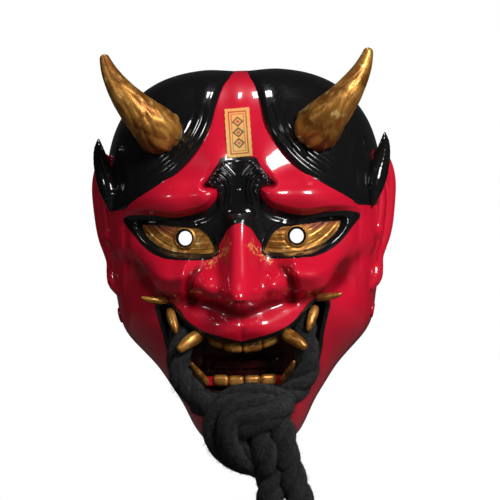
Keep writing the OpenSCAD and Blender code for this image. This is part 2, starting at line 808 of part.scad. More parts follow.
// Rope: a run behind the liner, a leg at each side, the knot and two tails
rope_sides = 12;
bit_half = from_front([
  [0, 44, -54], [14, 44, -54], [25, 41.5, -53], [31.5, 34, -52], [35, 25, -51.5],
  [36.5, 19, -52], [37, 15.3, -54.7], [37.4, 13.1, -59.2]
]);
leg_route = from_front([
  [38, 10, -66], [38.8, 9, -73], [37.8, 8, -80.2], [34, 6, -87.4], [27.5, 2, -93.5], [18, -5, -100]
]);
// Passes of the knot: down the left side, two across the middle, and one to the head of each tail
knot_passes = [for (l = [
  [[20, -10, -95], [10, -18, -93.5], [-3, -21, -94.5], [-13.4, -19, -100], [-17.4, -16, -109], [-15.6, -15, -120], [-8, -16, -128]],
  [[-20, -9, -98], [-12, -18, -100], [-7.5, -22, -107], [-6, -23, -117], [-1, -21, -127]],
  [[24, -10, -112], [21, -20, -106.5], [14, -25, -105], [7, -25, -109], [0, -22, -115], [-5, -14, -119]],
  [[2, -12, -104], [6, -17, -113], [11.6, -18.3, -124.2]],
  [[14, -10, -101], [21, -16, -111], [27.4, -18, -120.2]]
]) from_front(l)];
knot_sides = 10;
tail_joints = from_front([[15.5, -16, -138], [31, -16, -134]]);
tail_leans = [0.5, 4];

module rope_bit() {
  other_half = [for (i = [len(bit_half) - 1:-1:1]) [-bit_half[i][0], bit_half[i][1], bit_half[i][2]]];
  route = concat(other_half, bit_half);
  color(ROPE) sweep(route, even(route, rope_r), rope_sides);
}
module rope_leg(left) {
  color(ROPE)
    on_side(left)
      sweep(round_start(leg_route, rope_r), round_radii(leg_route, rope_r), rope_sides);
}
module rope_leg_left() { rope_leg(true); }
module rope_leg_right() { rope_leg(false); }

module rope_knot() {
  color(ROPE)
    for (l = knot_passes)
      tusk([for (p = l) [p, rope_r]], 0, knot_sides);
}

module rope_tail(i) {
  start = tail_joints[i];
  end = start + [tail_leans[i], 0, -tail_l];
  route = [start, (start + end) / 2, end];
  color(ROPE) sweep(round_start(route, rope_r), round_radii(route, rope_r), rope_sides);
}
module rope_tail_left() { rope_tail(0); }
module rope_tail_right() { rope_tail(1); }

module tail_whipping(i) {
  lean = [tail_leans[i], 0, -tail_l];
  color(BLACK)
    translate(tail_joints[i] + lean)
      rotate([0, 180 - atan2(lean[0], -lean[2]), 0])
        cylinder(r = rope_r + 0.6, h = whip_l);
}
module tail_whipping_left() { tail_whipping(0); }
module tail_whipping_right() { tail_whipping(1); }

face_shell();
hair_left();
hair_right();
side_lock_left();
side_lock_right();
ear_left();
ear_right();
brow_crest();
eye_bezel_left();
eye_bezel_right();
eye_plate_left();
eye_plate_right();
horn_left();
horn_right();
horn_screw_left();
horn_screw_right();
mouth_liner();
upper_teeth();
lower_teeth();
upper_fang_left();
upper_fang_right();
lower_fang_left();
lower_fang_right();
corner_fang_left();
corner_fang_right();
cheek_tusk_left();
cheek_tusk_right();
forehead_slip();
strap_eyelet_left();
strap_eyelet_right();
rope_bit();
rope_leg_left();
rope_leg_right();
rope_knot();
rope_tail_left();
rope_tail_right();
tail_whipping_left();
tail_whipping_right();
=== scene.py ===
"""Lacquered demon mask with gold horns and a rope bit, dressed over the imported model."""
import math

import bmesh
import bpy
import numpy as np
from mathutils import Matrix, Vector


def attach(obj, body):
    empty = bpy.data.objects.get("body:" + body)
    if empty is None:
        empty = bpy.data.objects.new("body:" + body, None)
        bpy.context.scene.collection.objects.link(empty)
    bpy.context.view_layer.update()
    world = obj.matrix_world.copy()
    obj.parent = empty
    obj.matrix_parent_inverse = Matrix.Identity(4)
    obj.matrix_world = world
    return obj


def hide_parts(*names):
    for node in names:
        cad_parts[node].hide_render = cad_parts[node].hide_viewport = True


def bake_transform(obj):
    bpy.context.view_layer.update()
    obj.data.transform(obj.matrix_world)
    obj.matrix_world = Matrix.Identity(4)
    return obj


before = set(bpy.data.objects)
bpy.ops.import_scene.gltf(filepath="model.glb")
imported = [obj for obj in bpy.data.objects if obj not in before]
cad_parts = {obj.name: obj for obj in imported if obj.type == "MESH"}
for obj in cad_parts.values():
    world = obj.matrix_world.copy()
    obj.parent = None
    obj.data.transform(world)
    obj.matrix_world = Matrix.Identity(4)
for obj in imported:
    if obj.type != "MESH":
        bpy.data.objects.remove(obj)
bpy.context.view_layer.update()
MM = 0.001


# ---------------------------------------------------------------- node trees

class Wire:
    """The output of a node. Arithmetic on wires adds Math nodes."""

    def __init__(self, tree, socket):
        self.tree, self.socket = tree, socket

    def math(self, operation, *others):
        return self.tree.math(operation, self, *others)

    def __add__(self, other):
        return self.math("ADD", other)

    def __sub__(self, other):
        return self.math("SUBTRACT", other)

    def __rsub__(self, other):
        return self.tree.math("SUBTRACT", other, self)

    def __mul__(self, other):
        return self.math("MULTIPLY", other)

    def __truediv__(self, other):
        return self.math("DIVIDE", other)

    def __rtruediv__(self, other):
        return self.tree.math("DIVIDE", other, self)

    def __pow__(self, other):
        return self.math("POWER", other)

    __radd__ = __add__
    __rmul__ = __mul__

    def beside(self, output):
        """Another output of the same node."""
        return Wire(self.tree, self.socket.node.outputs[output])

    def between(self, low, high):
        """0 below low, 1 above high, a soft step between."""
        values = {"Value": self, "From Min": low, "From Max": high}
        return self.tree.node("ShaderNodeMapRange", {"interpolation_type": "SMOOTHSTEP"}, values)


class Tree:
    """A shader or geometry tree that takes nodes by type, settings and socket values."""

    def __init__(self, tree):
        self.tree = tree

    def node(self, kind, settings=None, values=None, output=0):
        made = self.tree.nodes.new(kind)
        for key, value in (settings or {}).items():
            setattr(made, key, value)
        for key, value in (values or {}).items():
            self.feed(made.inputs[key], value)
        return Wire(self, made.outputs[output])

    def feed(self, socket, value):
        if isinstance(value, Wire):
            self.tree.links.new(value.socket, socket)
        else:
            socket.default_value = value

    def math(self, operation, *values):
        return self.node("ShaderNodeMath", {"operation": operation}, dict(enumerate(values)))

    def plus(self, a, b):
        """The sum of two vectors."""
        return self.node("ShaderNodeVectorMath", {"operation": "ADD"}, {0: a, 1: b})

    def scaled(self, vector, scale):
        return self.node("ShaderNodeVectorMath", {"operation": "SCALE"}, {"Vector": vector, "Scale": scale})

    def mix(self, factor, a, b):
        """Colour a where the factor is 0, and b where it is 1."""
        return self.node("ShaderNodeMix", {"data_type": "RGBA"}, {0: factor, 6: a, 7: b}, 2)

    def place(self):
        return self.node("ShaderNodeTexCoord", output="Object")

    def attribute(self, name):
        return self.node("ShaderNodeAttribute", {"attribute_name": name}, output="Fac")

    def noise(self, scale, detail=2.0, vector=None, rough=0.5, warp=0.0):
        values = {"Scale": scale, "Detail": detail, "Roughness": rough, "Distortion": warp}
        values["Vector"] = vector or self.place()
        return self.node("ShaderNodeTexNoise", None, values)

    def bump(self, height, distance, strength=1.0, normal=None):
        values = {"Height": height, "Distance": distance, "Strength": strength}
        if normal:
            values["Normal"] = normal
        return self.node("ShaderNodeBump", None, values)


def finish_of(name, constants, paint):
    """A material: constants on the shader's own sockets, and the wires that paint gives."""
    material = bpy.data.materials.new(name)
    material.use_nodes = True
    tree = Tree(material.node_tree)
    shader = material.node_tree.nodes["Principled BSDF"]
    for key, value in constants.items():
        shader.inputs[key].default_value = value
    for key, wire in paint(tree).items():
        tree.feed(shader.inputs[key], wire)
    return material


# ---------------------------------------------------------------- curves and outlines, in mm

def curve_through(points, count):
    """Evenly spaced points on a smooth curve through the given ones."""
    p = np.asarray(points, float)
    padded = np.vstack([2 * p[0] - p[1], p, 2 * p[-1] - p[-2]])
    t = np.linspace(0, 1, 24, endpoint=False)[:, None]
    fine = []
    for a, b, c, d in zip(padded[:-3], padded[1:-2], padded[2:-1], padded[3:]):
        fine.append(0.5 * (2 * b + (c - a) * t + (2 * a - 5 * b + 4 * c - d) * t ** 2
                           + (3 * b - a - 3 * c + d) * t ** 3))
    fine = np.vstack(fine + [p[-1:]])
    run = np.concatenate([[0], np.cumsum(np.linalg.norm(np.diff(fine, axis=0), axis=1))])
    steps = np.linspace(0, run[-1], count)
    return np.stack([np.interp(steps, run, fine[:, k]) for k in range(fine.shape[1])], axis=1)


def edge_distance(line, x, z):
    """Distance from each place to the nearest point of a line."""
    best = np.full(np.shape(x), 1e9)
    for (ax, az), (bx, bz) in zip(line[:-1], line[1:]):
        dx, dz = bx - ax, bz - az
        t = np.clip(((x - ax) * dx + (z - az) * dz) / (dx * dx + dz * dz + 1e-12), 0, 1)
        best = np.minimum(best, np.hypot(x - ax - t * dx, z - az - t * dz))
    return best


def edge_gap(edge, flat):
    """Distance from places in a plane to a closed outline."""
    return edge_distance(np.vstack([edge, edge[:1]]), flat[..., 0], flat[..., 1])


def depth_inside(outline, x, z):
    """Distance to a closed outline, positive inside it."""
    closed = np.vstack([outline, outline[:1]])
    inside = np.zeros(np.shape(x), bool)
    for (ax, az), (bx, bz) in zip(closed[:-1], closed[1:]):
        if az != bz:
            inside ^= ((az > z) != (bz > z)) & (x < (bx - ax) * (z - az) / (bz - az) + ax)
    return np.where(inside, 1, -1) * edge_distance(closed, x, z)


def soft_step(low, high, v):
    t = np.clip((v - low) / (high - low), 0, 1)
    return t * t * (3 - 2 * t)


def mound(x, z, at, radii):
    return np.exp(-((x - at[0]) / radii[0]) ** 2 - ((z - at[1]) / radii[1]) ** 2)


def ridge(x, z, points, width):
    """A soft ridge of height 1 along a curve."""
    pieces = 40
    return np.exp(-(edge_distance(curve_through(points, pieces), x, z) / width) ** 2)


# ---------------------------------------------------------------- the head's form, as in the part's source

HALF_W, CROWN_H, CHIN_DROP, DOME_D, WALL = 88.0, 106.0, 129.0, 70.0, 4.0
HAIR_RISE = 4.0
THINNEST = 2.2  # of the shell's wall, where the carving is deep

# Departures of the jaw from its oval: degrees below the middle, spread in degrees, share of the radius
JAW_BULGES = [(9, 5, -0.024), (35, 11, 0.057), (56, 7, -0.012), (77, 7, 0.08)]


def rim_r(a):
    """Radius of the mask's rim at an angle from the middle of its back."""
    up = np.sin(a) > 0
    power = np.where(up, 3.0, 1.5)
    reach = np.where(up, CROWN_H, CHIN_DROP)
    c, s = np.abs(np.cos(a)), np.abs(np.sin(a))
    oval = ((c / HALF_W) ** power + (s / reach) ** power) ** (-1 / power)
    below = np.degrees(np.arctan2(s, c))
    jaw = 1 + sum(share * np.exp(-((below - at) / spread) ** 2) for at, spread, share in JAW_BULGES)
    return oval * np.where(up, 1, jaw)


def rim_at(degrees):
    a = math.radians(degrees)
    return float(rim_r(np.array(a))) * np.array([math.cos(a), math.sin(a)])


def share_of(x, z):
    """How far out towards the rim a place lies, 1 at the rim."""
    return np.hypot(x, z) / rim_r(np.arctan2(z, x))


def dome(s):
    return DOME_D * np.sqrt(np.clip(1 - s ** 3, 0, None))


def fade(s):
    """Takes the carving out towards the rim."""
    return np.clip(1 - s ** 8, 0, None)


MOUTH_HALF = curve_through([
    (0, -63.6), (14, -60), (26, -55.6), (34, -50), (39.5, -43), (44, -39), (50, -39),
    (49, -46), (46.5, -56), (45, -66), (42, -77), (35, -86), (24, -90.5), (0, -92)], 120)
MOUTH = np.vstack([MOUTH_HALF, MOUTH_HALF[-2:0:-1] * (-1, 1)])
MOUTH_HALF_WIDE = np.vstack([[(-20, -63.6)], MOUTH_HALF, [(-20, -92)]])

# The black paint between the brows and around the eyes, on the right side and past the middle
BLACK_EDGE = np.vstack([
    [(-20, 49)],
    curve_through([
        (0, 49), (10, 48.6), (12, 45.6), (16.2, 39.6), (20.4, 32.7), (17, 31.3), (13, 30.3), (12.3, 28),
        (14.4, 22.8), (19, 18.5), (25, 16.4), (33, 14.4), (42, 14), (54, 15.6), (66, 15.9), (72.3, 13.2),
        (66, 4.8), (60, -2.4), (54, -7.2), (48, -9.9), (42, -11.4), (33, -12), (24, -11.7), (18, -10.2),
        (14.4, -6.6), (10.8, -0.6), (6.6, 6), (3, 8.4), (0, 9.3)], 170),
    [(-20, 9.3)]])

# The red forehead above that paint, and the cheek within its fold, both closed far from their edge
FOREHEAD = np.vstack([
    curve_through([
        (13, 30.3), (12.3, 28), (14.4, 22.8), (19, 18.5), (25, 16.4), (33, 14.4), (42, 14), (54, 15.6),
        (66, 15.9), (74, 13)], 70),
    [(96, 6), (96, 130), (-40, 130), (-40, 49), (0, 49)],
    curve_through([(10, 48.6), (12, 45.6), (16.2, 39.6), (20.4, 32.7), (17, 31.3), (13.4, 30.5)], 30)])
CHEEK = np.vstack([
    curve_through([
        (20, -9), (23.5, -14), (26, -19), (28.3, -25), (30.4, -30), (32.9, -34), (37.8, -35.6), (43.8, -34),
        (50, -31), (54, -27), (57, -21), (60, -15.6), (64, -11.4), (69, -6), (77, 4)], 90),
    [(84, 30), (20, 30)]])


def nose(x, z):
    """A ridge that widens downwards, a round tip and a broad foot."""
    u = np.clip((10 - z) / 41.25, 0, 1)
    past = np.maximum(np.maximum(z - 10, -35 - z), 0) / 6.5
    bridge = (8 + 9 * u) * np.exp(-(np.abs(x) / (7.6 + 3 * u)) ** 2.8 - past ** 2)
    foot = 9 * u * np.exp(-(x / (13 + 6 * u)) ** 2 - past ** 2)
    return bridge + foot + 5.5 * mound(x, z, (0, -35), (10.5, 8))


def relief(x, z):
    """Carving of the face in front of the dome."""
    x = np.abs(x)
    edge = -33 - 0.33 * (29 - x)
    h = nose(x, z) + 11 * mound(x, z, (20, -28), (8.2, 8.4)) * soft_step(edge - 5.5, edge + 1.5, z)
    h += 6.5 * mound(x, z, (31, -20), (7, 11)) + 1.8 * mound(x, z, (30, -12), (6, 6))
    h -= 2 * ridge(x, z, [(28.4, -20), (30.8, -26), (31, -32), (30, -37)], 2.8)
    h -= 3 * ridge(x, z, [(8, -41), (16, -39.6), (22, -37.8), (27, -35.8)], 4.4)
    h -= 1.4 * mound(x, z, (0, -46), (13, 4))
    h -= 1.8 * ridge(x, z, [(29, -36.4), (34, -38.2), (40, -39.8), (46, -38)], 3.6)

    red = depth_inside(FOREHEAD, x, z)
    brow = 10 * mound(x, z, (41, 25), (29, 12)) + 3.5 * mound(x, z, (20, 26), (8, 7))
    h += brow * soft_step(-0.9, 3.6, red) + 3.6 * mound(x, z, (13.5, 44), (10.5, 17))
    under = soft_step(12, 22, x) * (1 - soft_step(62, 76, x))
    h -= 6 * mound(x, z, (36, 0), (24, 12)) + 2.4 * under * np.exp(-((red + 3.6) / 2.4) ** 2)

    cheek = depth_inside(CHEEK, x, z)
    inward = 1 - soft_step(29, 40, x)
    h += 15.5 * mound(x, z, (44, -23), (18, 13)) * soft_step(-0.8 - 2 * inward, 3 + 6 * inward, cheek)
    fold = [(23, -14.5), (28, -18.6), (33, -21.2), (40, -22.8), (47, -22.2), (54, -18.3), (60, -12)]
    ends = soft_step(21, 29, x) * (1 - soft_step(50, 62, x))
    h += ends * (0.4 * ridge(x, z, fold, 2.4) - 1.3 * ridge(x, z + 5, fold, 3.8))
    h -= 8 * mound(x, z, (63, -24), (8, 12))

    lip = [(2, -49.8), (9, -48), (19, -47.4), (29, -45)]
    h += 10 * mound(x, z, (8, -53), (27, 10.4)) + 0.4 * ridge(x, z, lip, 3)
    notch = soft_step(-63, -57, z) * (1 - soft_step(-54, -50, z))
    h += 0.4 * ridge(x, z, [(0, -53.2), (5, -50.4)], 1.2) - 0.6 * np.exp(-(x / 1.6) ** 2) * notch
    h += 18 * mound(x, z, (0, -106), (26, 16)) + 2.5 * mound(x, z, (0, -96), (22, 4))
    h += 2 * mound(x, z, (60, -56), (9, 15)) + 1.8 * np.exp(-(x / 6) ** 2) * soft_step(70, 86, z)
    h -= 1.6 * ridge(x, z, [(71, 24), (70.5, 0), (71, -25), (73, -48)], 2.2)

    mouth = -depth_inside(MOUTH_HALF_WIDE, x, z)
    return h - 1.5 * (1 - soft_step(0, 3, mouth)) ** 2


def face_h(x, z):
    """Height of the face in front of the rim."""
    s = share_of(x, z)
    return dome(s) + fade(s) * relief(x, z)


def plain_relief(x, z):
    """The softer carving on the inside of the shell."""
    x = np.abs(x)
    return (nose(x, z) + 13 * mound(x, z, (17, -33), (9, 8)) + 10 * mound(x, z, (38, 27), (30, 10))
            - 6 * mound(x, z, (36, 0), (24, 12)) + 11 * mound(x, z, (44, -24), (15, 11))
            + 13 * mound(x, z, (10, -53), (24, 10)) + 18 * mound(x, z, (0, -106), (26, 16)))


def narrowing(x, z):
    """By how much the inside of the shell is narrower there, as a factor."""
    return 1 - WALL * share_of(x, z) ** 6 / rim_r(np.arctan2(z, x))


def inner_dome(s):
    return dome(s) * (DOME_D - WALL) / DOME_D


HAIRLINE = curve_through(
    [rim_at(13), (73, 20), (61.2, 26), (48.8, 33), (37.5, 40.8), (29.4, 48.6), (22.6, 57.8), (17, 69),
     (13.8, 82), (11, 92), (8.8, 97), (5.6, 101.5), (4, 104), rim_at(88)], 120)


def hair_base(x, z):
    """Height of the plain hair lobe in front of the rim."""
    s = share_of(x, z)
    return dome(s) + fade(s) * HAIR_RISE


# ---------------------------------------------------------------- meshes

def added(name, data):
    """A new object in the scene."""
    made = bpy.data.objects.new(name, data)
    bpy.context.scene.collection.objects.link(made)
    return made


def outward(mesh, merge=False):
    """Turns a mesh's faces outwards, after merging its doubles where asked."""
    work = bmesh.new()
    work.from_mesh(mesh)
    if merge:
        bmesh.ops.remove_doubles(work, verts=work.verts, dist=1e-7)
    bmesh.ops.recalc_face_normals(work, faces=work.faces)
    work.to_mesh(mesh)
    work.free()


def mesh_of(name, points, faces):
    """A mesh with its faces turned outwards, from points in mm."""
    mesh = bpy.data.meshes.new(name)
    mesh.from_pydata((np.asarray(points, float) * MM).tolist(), [], [list(f) for f in faces])
    outward(mesh, merge=True)
    mesh.update()
    return mesh


def gilded(name, points, faces, grooves):
    """A mesh for gold leaf from points in mm, which keep their order, with the stain and painted shade at
    each.
    """
    mesh = bpy.data.meshes.new(name)
    mesh.from_pydata((points * MM).tolist(), [], faces)
    set_attribute(mesh, "stain_and_shade", grooves)
    outward(mesh)
    return mesh


def piece(name, mesh, material, body, nodes, sharp=40):
    """A finished piece on a body, in place of the solids that it stands for."""
    made = added(name, mesh)
    mesh.shade_smooth()
    mesh.set_sharp_from_angle(angle=math.radians(sharp))
    mesh.materials.clear()
    mesh.materials.append(material)
    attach(made, body)
    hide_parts(*nodes)
    return made


def set_attribute(mesh, name, values):
    mesh.attributes.new(name, "FLOAT", "POINT").data.foreach_set("value", np.asarray(values, np.float32))


def points_of(mesh):
    """A mesh's points in mm."""
    flat = np.empty(len(mesh.vertices) * 3, np.float32)
    mesh.vertices.foreach_get("co", flat)
    return flat.reshape(-1, 3).astype(float) / MM


def ring_faces(rows, cols, start=0, closed=True):
    """Quads between rows of points, each row of cols points."""
    k = np.arange(cols if closed else cols - 1)
    faces = []
    for r in range(rows - 1):
        a = start + r * cols
        b = a + cols
        faces += np.stack([a + k, a + (k + 1) % cols, b + (k + 1) % cols, b + k], axis=1).tolist()
    return faces


def closed_disc(outer, outer_middle, inner, inner_middle):
    """A shell between two sets of rings around a middle, as points and faces."""
    rows, cols = outer.shape[:2]
    back_rows = inner.shape[0]
    start = rows * cols
    middle = start + back_rows * cols
    points = np.vstack([outer.reshape(-1, 3), inner.reshape(-1, 3), [outer_middle], [inner_middle]])
    faces = ring_faces(rows, cols) + ring_faces(back_rows, cols, start)
    last, back_last = (rows - 1) * cols, start + (back_rows - 1) * cols
    for k in range(cols):
        n = (k + 1) % cols
        faces.append([last + k, last + n, back_last + n, back_last + k])
        faces.append([middle, k, n])
        faces.append([middle + 1, start + n, start + k])
    return points, faces


def closed_patch(top, bottom):
    """A shell between two grids of the same rows and columns."""
    rows, cols = top.shape[:2]
    under = rows * cols
    faces = ring_faces(rows, cols, 0, False) + ring_faces(rows, cols, under, False)
    border = ([(0, k) for k in range(cols - 1)] + [(r, cols - 1) for r in range(rows - 1)]
              + [(rows - 1, k) for k in range(cols - 1, 0, -1)] + [(r, 0) for r in range(rows - 1, 0, -1)])
    ids = [r * cols + k for r, k in border]
    for a, b in zip(ids, ids[1:] + ids[:1]):
        faces.append([a, b, under + b, under + a])
    return np.vstack([top.reshape(-1, 3), bottom.reshape(-1, 3)]), faces


def prism(outline, low, high, place):
    """A closed block over a flat outline, from low to high; place maps its points."""
    n = len(outline)
    points = np.vstack([np.column_stack([outline, np.full(n, v)]) for v in (low, high)])
    faces = [list(range(n)), list(range(2 * n - 1, n - 1, -1))]
    faces += [[k, (k + 1) % n, n + (k + 1) % n, n + k] for k in range(n)]
    return place(points), faces


def joined(parts):
    """Several sets of points and faces as one."""
    points, faces = [], []
    for p, f in parts:
        start = sum(len(q) for q in points)
        points.append(np.asarray(p, float))
        faces += [[i + start for i in face] for face in f]
    return np.vstack(points), faces


def cut(mesh, parts):
    """The mesh with the blocks in parts cut away."""
    whole = added("whole", mesh)
    cutter = added("cutter", mesh_of("cutter", *joined(parts)))
    step = whole.modifiers.new("cut", "BOOLEAN")
    step.operation, step.solver, step.object = "DIFFERENCE", "MANIFOLD", cutter
    seen = whole.evaluated_get(bpy.context.evaluated_depsgraph_get())
    result = bpy.data.meshes.new_from_object(seen)
    for made in (whole, cutter):
        bpy.data.objects.remove(made)
    return result


def frames_along(path):
    """Two directions across a path, at each of its points, that don't twist."""
    run = np.gradient(path, axis=0)
    run /= np.linalg.norm(run, axis=1)[:, None]
    side = np.cross(run[0], (0, 0, 1) if abs(run[0][2]) < 0.9 else (1, 0, 0))
    sides = []
    for t in run:
        side = side - t * np.dot(side, t)
        side = side / np.linalg.norm(side)
        sides.append(side)
    sides = np.array(sides)
    return sides, np.cross(run, sides)


def swept(path, radius, sides):
    """Points and faces of a tube with closed ends; radius is one number, or one for each point of it."""
    u, v = frames_along(path)
    a = np.linspace(0, 2 * np.pi, sides, endpoint=False)[None, :, None]
    n = len(path)
    r = np.broadcast_to(radius, (n, sides))[..., None]
    rings = path[:, None] + r * (np.cos(a) * u[:, None] + np.sin(a) * v[:, None])
    points = np.vstack([rings.reshape(-1, 3), path[:1], path[-1:]])
    faces = ring_faces(n, sides)
    for k in range(sides):
        faces.append([n * sides, (k + 1) % sides, k])
        faces.append([n * sides + 1, (n - 1) * sides + k, (n - 1) * sides + (k + 1) % sides])
    return points, faces


def surface_net(field, low, step):
    """Quads around the zero level of a field of distances on a grid, negative inside."""
    inside = field < 0
    shape = np.array(field.shape)
    corner = [inside[i:shape[0] - 1 + i, j:shape[1] - 1 + j, k:shape[2] - 1 + k]
              for i in (0, 1) for j in (0, 1) for k in (0, 1)]
    mixed = np.any(corner, axis=0) & ~np.all(corner, axis=0)
    cells = np.argwhere(mixed)
    index = np.full(mixed.shape, -1)
    index[mixed] = np.arange(len(cells))
    total, count = np.zeros((len(cells), 3)), np.zeros(len(cells))
    unit = np.eye(3, dtype=int)
    for axis in range(3):
        others = [k for k in range(3) if k != axis]
        for i in (0, 1):
            for j in (0, 1):
                a = cells + i * unit[others[0]] + j * unit[others[1]]
                fa, fb = field[tuple(a.T)], field[tuple((a + unit[axis]).T)]
                hit = (fa < 0) != (fb < 0)
                t = np.where(hit, fa / np.where(hit, fa - fb, 1), 0)
                total[hit] += (a + t[:, None] * unit[axis])[hit]
                count[hit] += 1
    points = low + step * total / count[:, None]
    faces = []
    for axis in range(3):
        u, v = [unit[k] for k in range(3) if k != axis]
        ahead = np.take(inside, range(1, shape[axis]), axis)
        behind = np.take(inside, range(0, shape[axis] - 1), axis)
        edges = np.argwhere(ahead != behind)
        keep = np.all((edges - u - v >= 0) & (edges < shape - 1), axis=1)
        e = edges[keep]
        faces += np.stack([index[tuple(c.T)] for c in (e, e - u, e - u - v, e - v)], axis=1).tolist()
    return points, faces


def blend_min(a, b, k):
    """The nearer of two distances, with a fillet of about k."""
    h = np.clip(0.5 + 0.5 * (b - a) / k, 0, 1)
    return b + (a - b) * h - k * h * (1 - h)


def limb(points, balls):
    """Distance to a chain of balls, each (x, y, z, radius), joined by cones."""
    best = None
    for a, b in zip(balls[:-1], balls[1:]):
        a, b = np.asarray(a, float), np.asarray(b, float)
        run = b[:3] - a[:3]
        t = np.clip(((points - a[:3]) @ run) / np.dot(run, run), 0, 1)
        d = np.linalg.norm(points - a[:3] - t[..., None] * run, axis=-1) - (a[3] + t * (b[3] - a[3]))
        best = d if best is None else np.minimum(best, d)
    return best


def carved(low, high, step, distance):
    """Points and faces of the solid where distance(points) is negative."""
    axes = [np.arange(l, h + step, step) for l, h in zip(low, high)]
    grid = np.stack(np.meshgrid(*axes, indexing="ij"), axis=-1)
    return surface_net(distance(grid), np.asarray(low, float), step)


def flipped(points):
    return np.asarray(points) * (-1, 1, 1)


def mirrored(left, points):
    """Points of the right side, turned over to the left where asked."""
    return flipped(points) if left else points


SIDES = (("left", True), ("right", False))


# ---------------------------------------------------------------- finishes

# The deeper red is painted shade on the face, and a random tone on the eyelets.
RED, DEEP_RED = (0.56, 0.006, 0.027, 1), (0.17, 0.001, 0.006, 1)
BLACK, DUST = (0.006, 0.006, 0.0065, 1), (0.05, 0.05, 0.05, 1)
GILT = (0.66, 0.28, 0.08, 1)
BARE_DARK, BARE_PALE = (0.03, 0.025, 0.022, 1), (0.055, 0.045, 0.04, 1)
MAROON_DARK, MAROON, GUM_RED = (0.012, 0.005, 0.005, 1), (0.05, 0.006, 0.007, 1), (0.42, 0.006, 0.018, 1)
GOLD_BROWN, GOLD = (0.24, 0.08, 0.01, 1), (0.56, 0.26, 0.05, 1)
# The last is a red-brown stain, also laid on as painted shade.
GOLD_RUBBED, GOLD_STAIN_AND_SHADE = (0.88, 0.62, 0.22, 1), (0.17, 0.022, 0.007, 1)
COTTON_DARK, COTTON_PALE = (0.0012, 0.0012, 0.0014, 1), (0.018, 0.018, 0.0192, 1)
TWINE_DARK, TWINE_PALE = (0.004, 0.004, 0.004, 1), (0.022, 0.022, 0.024, 1)
PAPER, PAPER_BROWNED, PAPER_FIBRE = (0.62, 0.37, 0.1, 1), (0.8, 0.33, 0.085, 1), (0.45, 0.2, 0.05, 1)
SLIP_BROWN, SLIP_DARK = (0.33, 0.03, 0.012, 1), (0.04, 0.016, 0.01, 1)
STEEL_DARK, STEEL_PALE = (0.32, 0.32, 0.33, 1), (0.55, 0.55, 0.56, 1)

# The paper slip in mm: its width, its height, the height of its middle on the mask, and its lean
SLIP_W, SLIP_H, SLIP_Z, SLIP_LEAN = 15, 30, 64, math.radians(4)


def lacquer_bump(t, speckle):
    """Slow waves of brushed lacquer and, where speckle is high, fine pits in it."""
    waves = t.bump(t.noise(90, 2.0), 0.0006, 0.07)
    return t.bump(t.noise(1100, 3.0), 0.0003, speckle, waves)


def paint_face(t):
    """Red lacquer with painted shade, a deeper red in the creases, black between the brows and at the
    mouth, bare wood inside.
    """
    edge = t.attribute("black_depth") + (t.noise(160, 3.0) - 0.5) * 0.9
    black = edge.between(-0.3, 0.3)
    inside = t.attribute("inside").between(0.3, 0.7)
    # Painted shade: the red turns deeper where the creases, the nostrils, the underside of the cheeks and
    # the ear's bowl lie in shade.
    shade_depth = t.attribute("hollow") * (0.75 + 0.5 * t.noise(60, 3.0))
    patchy = t.noise(25, 3.0).between(0.35, 0.7) * 0.25
    red = t.mix((shade_depth + patchy).between(0.0, 1.3), RED, DEEP_RED)
    bare = t.mix(t.noise(38, 4.0).between(0.3, 0.7), BARE_DARK, BARE_PALE)
    dark = t.math("MAXIMUM", black, inside)
    strokes = t.noise(420, 4.0, rough=0.6, warp=0.8).between(0.42, 0.64)
    gilt = (t.attribute("gilt") * 0.7 + strokes * 0.75 - 0.75).between(0.0, 0.4)
    colour = t.mix(gilt * 0.75, t.mix(inside, t.mix(black, red, BLACK), bare), GILT)
    smear = t.noise(45, 4.0).between(0.45, 0.75)
    rough = 0.3 + 0.1 * smear + 0.2 * inside
    return {"Base Color": colour, "Roughness": rough, "Coat Weight": 0.75 - 0.6 * inside,
            "Normal": lacquer_bump(t, 0.07 + 0.26 * dark)}


def paint_hair(t):
    """Black lacquer with pits that break up its highlights."""
    smear = t.noise(50, 4.0).between(0.4, 0.75)
    dust = t.noise(1400, 2.0).between(0.66, 0.74)
    colour = t.mix(dust * 0.35, BLACK, DUST)
    return {"Base Color": colour, "Roughness": 0.14 + 0.14 * smear, "Normal": lacquer_bump(t, 0.75)}


def paint_trim(t):
    """Smooth black lacquer, a little dusty."""
    dust = t.noise(1400, 2.0).between(0.68, 0.74)
    colour = t.mix(dust * 0.25, BLACK, DUST)
    rough = 0.12 + 0.1 * t.noise(60, 3.0)
    return {"Base Color": colour, "Roughness": rough, "Normal": lacquer_bump(t, 0.35)}


def paint_liner(t):
    """Dark maroon lacquer, nearly black in places, with red gums."""
    gum = t.attribute("gum").between(0.35, 0.65)
    deep = t.mix(t.noise(45, 3.0).between(0.35, 0.65), MAROON_DARK, MAROON)
    colour = t.mix(gum, deep, GUM_RED)
    rough = 0.16 + 0.16 * t.noise(60, 3.0)
    return {"Base Color": colour, "Roughness": rough, "Normal": lacquer_bump(t, 0.3)}


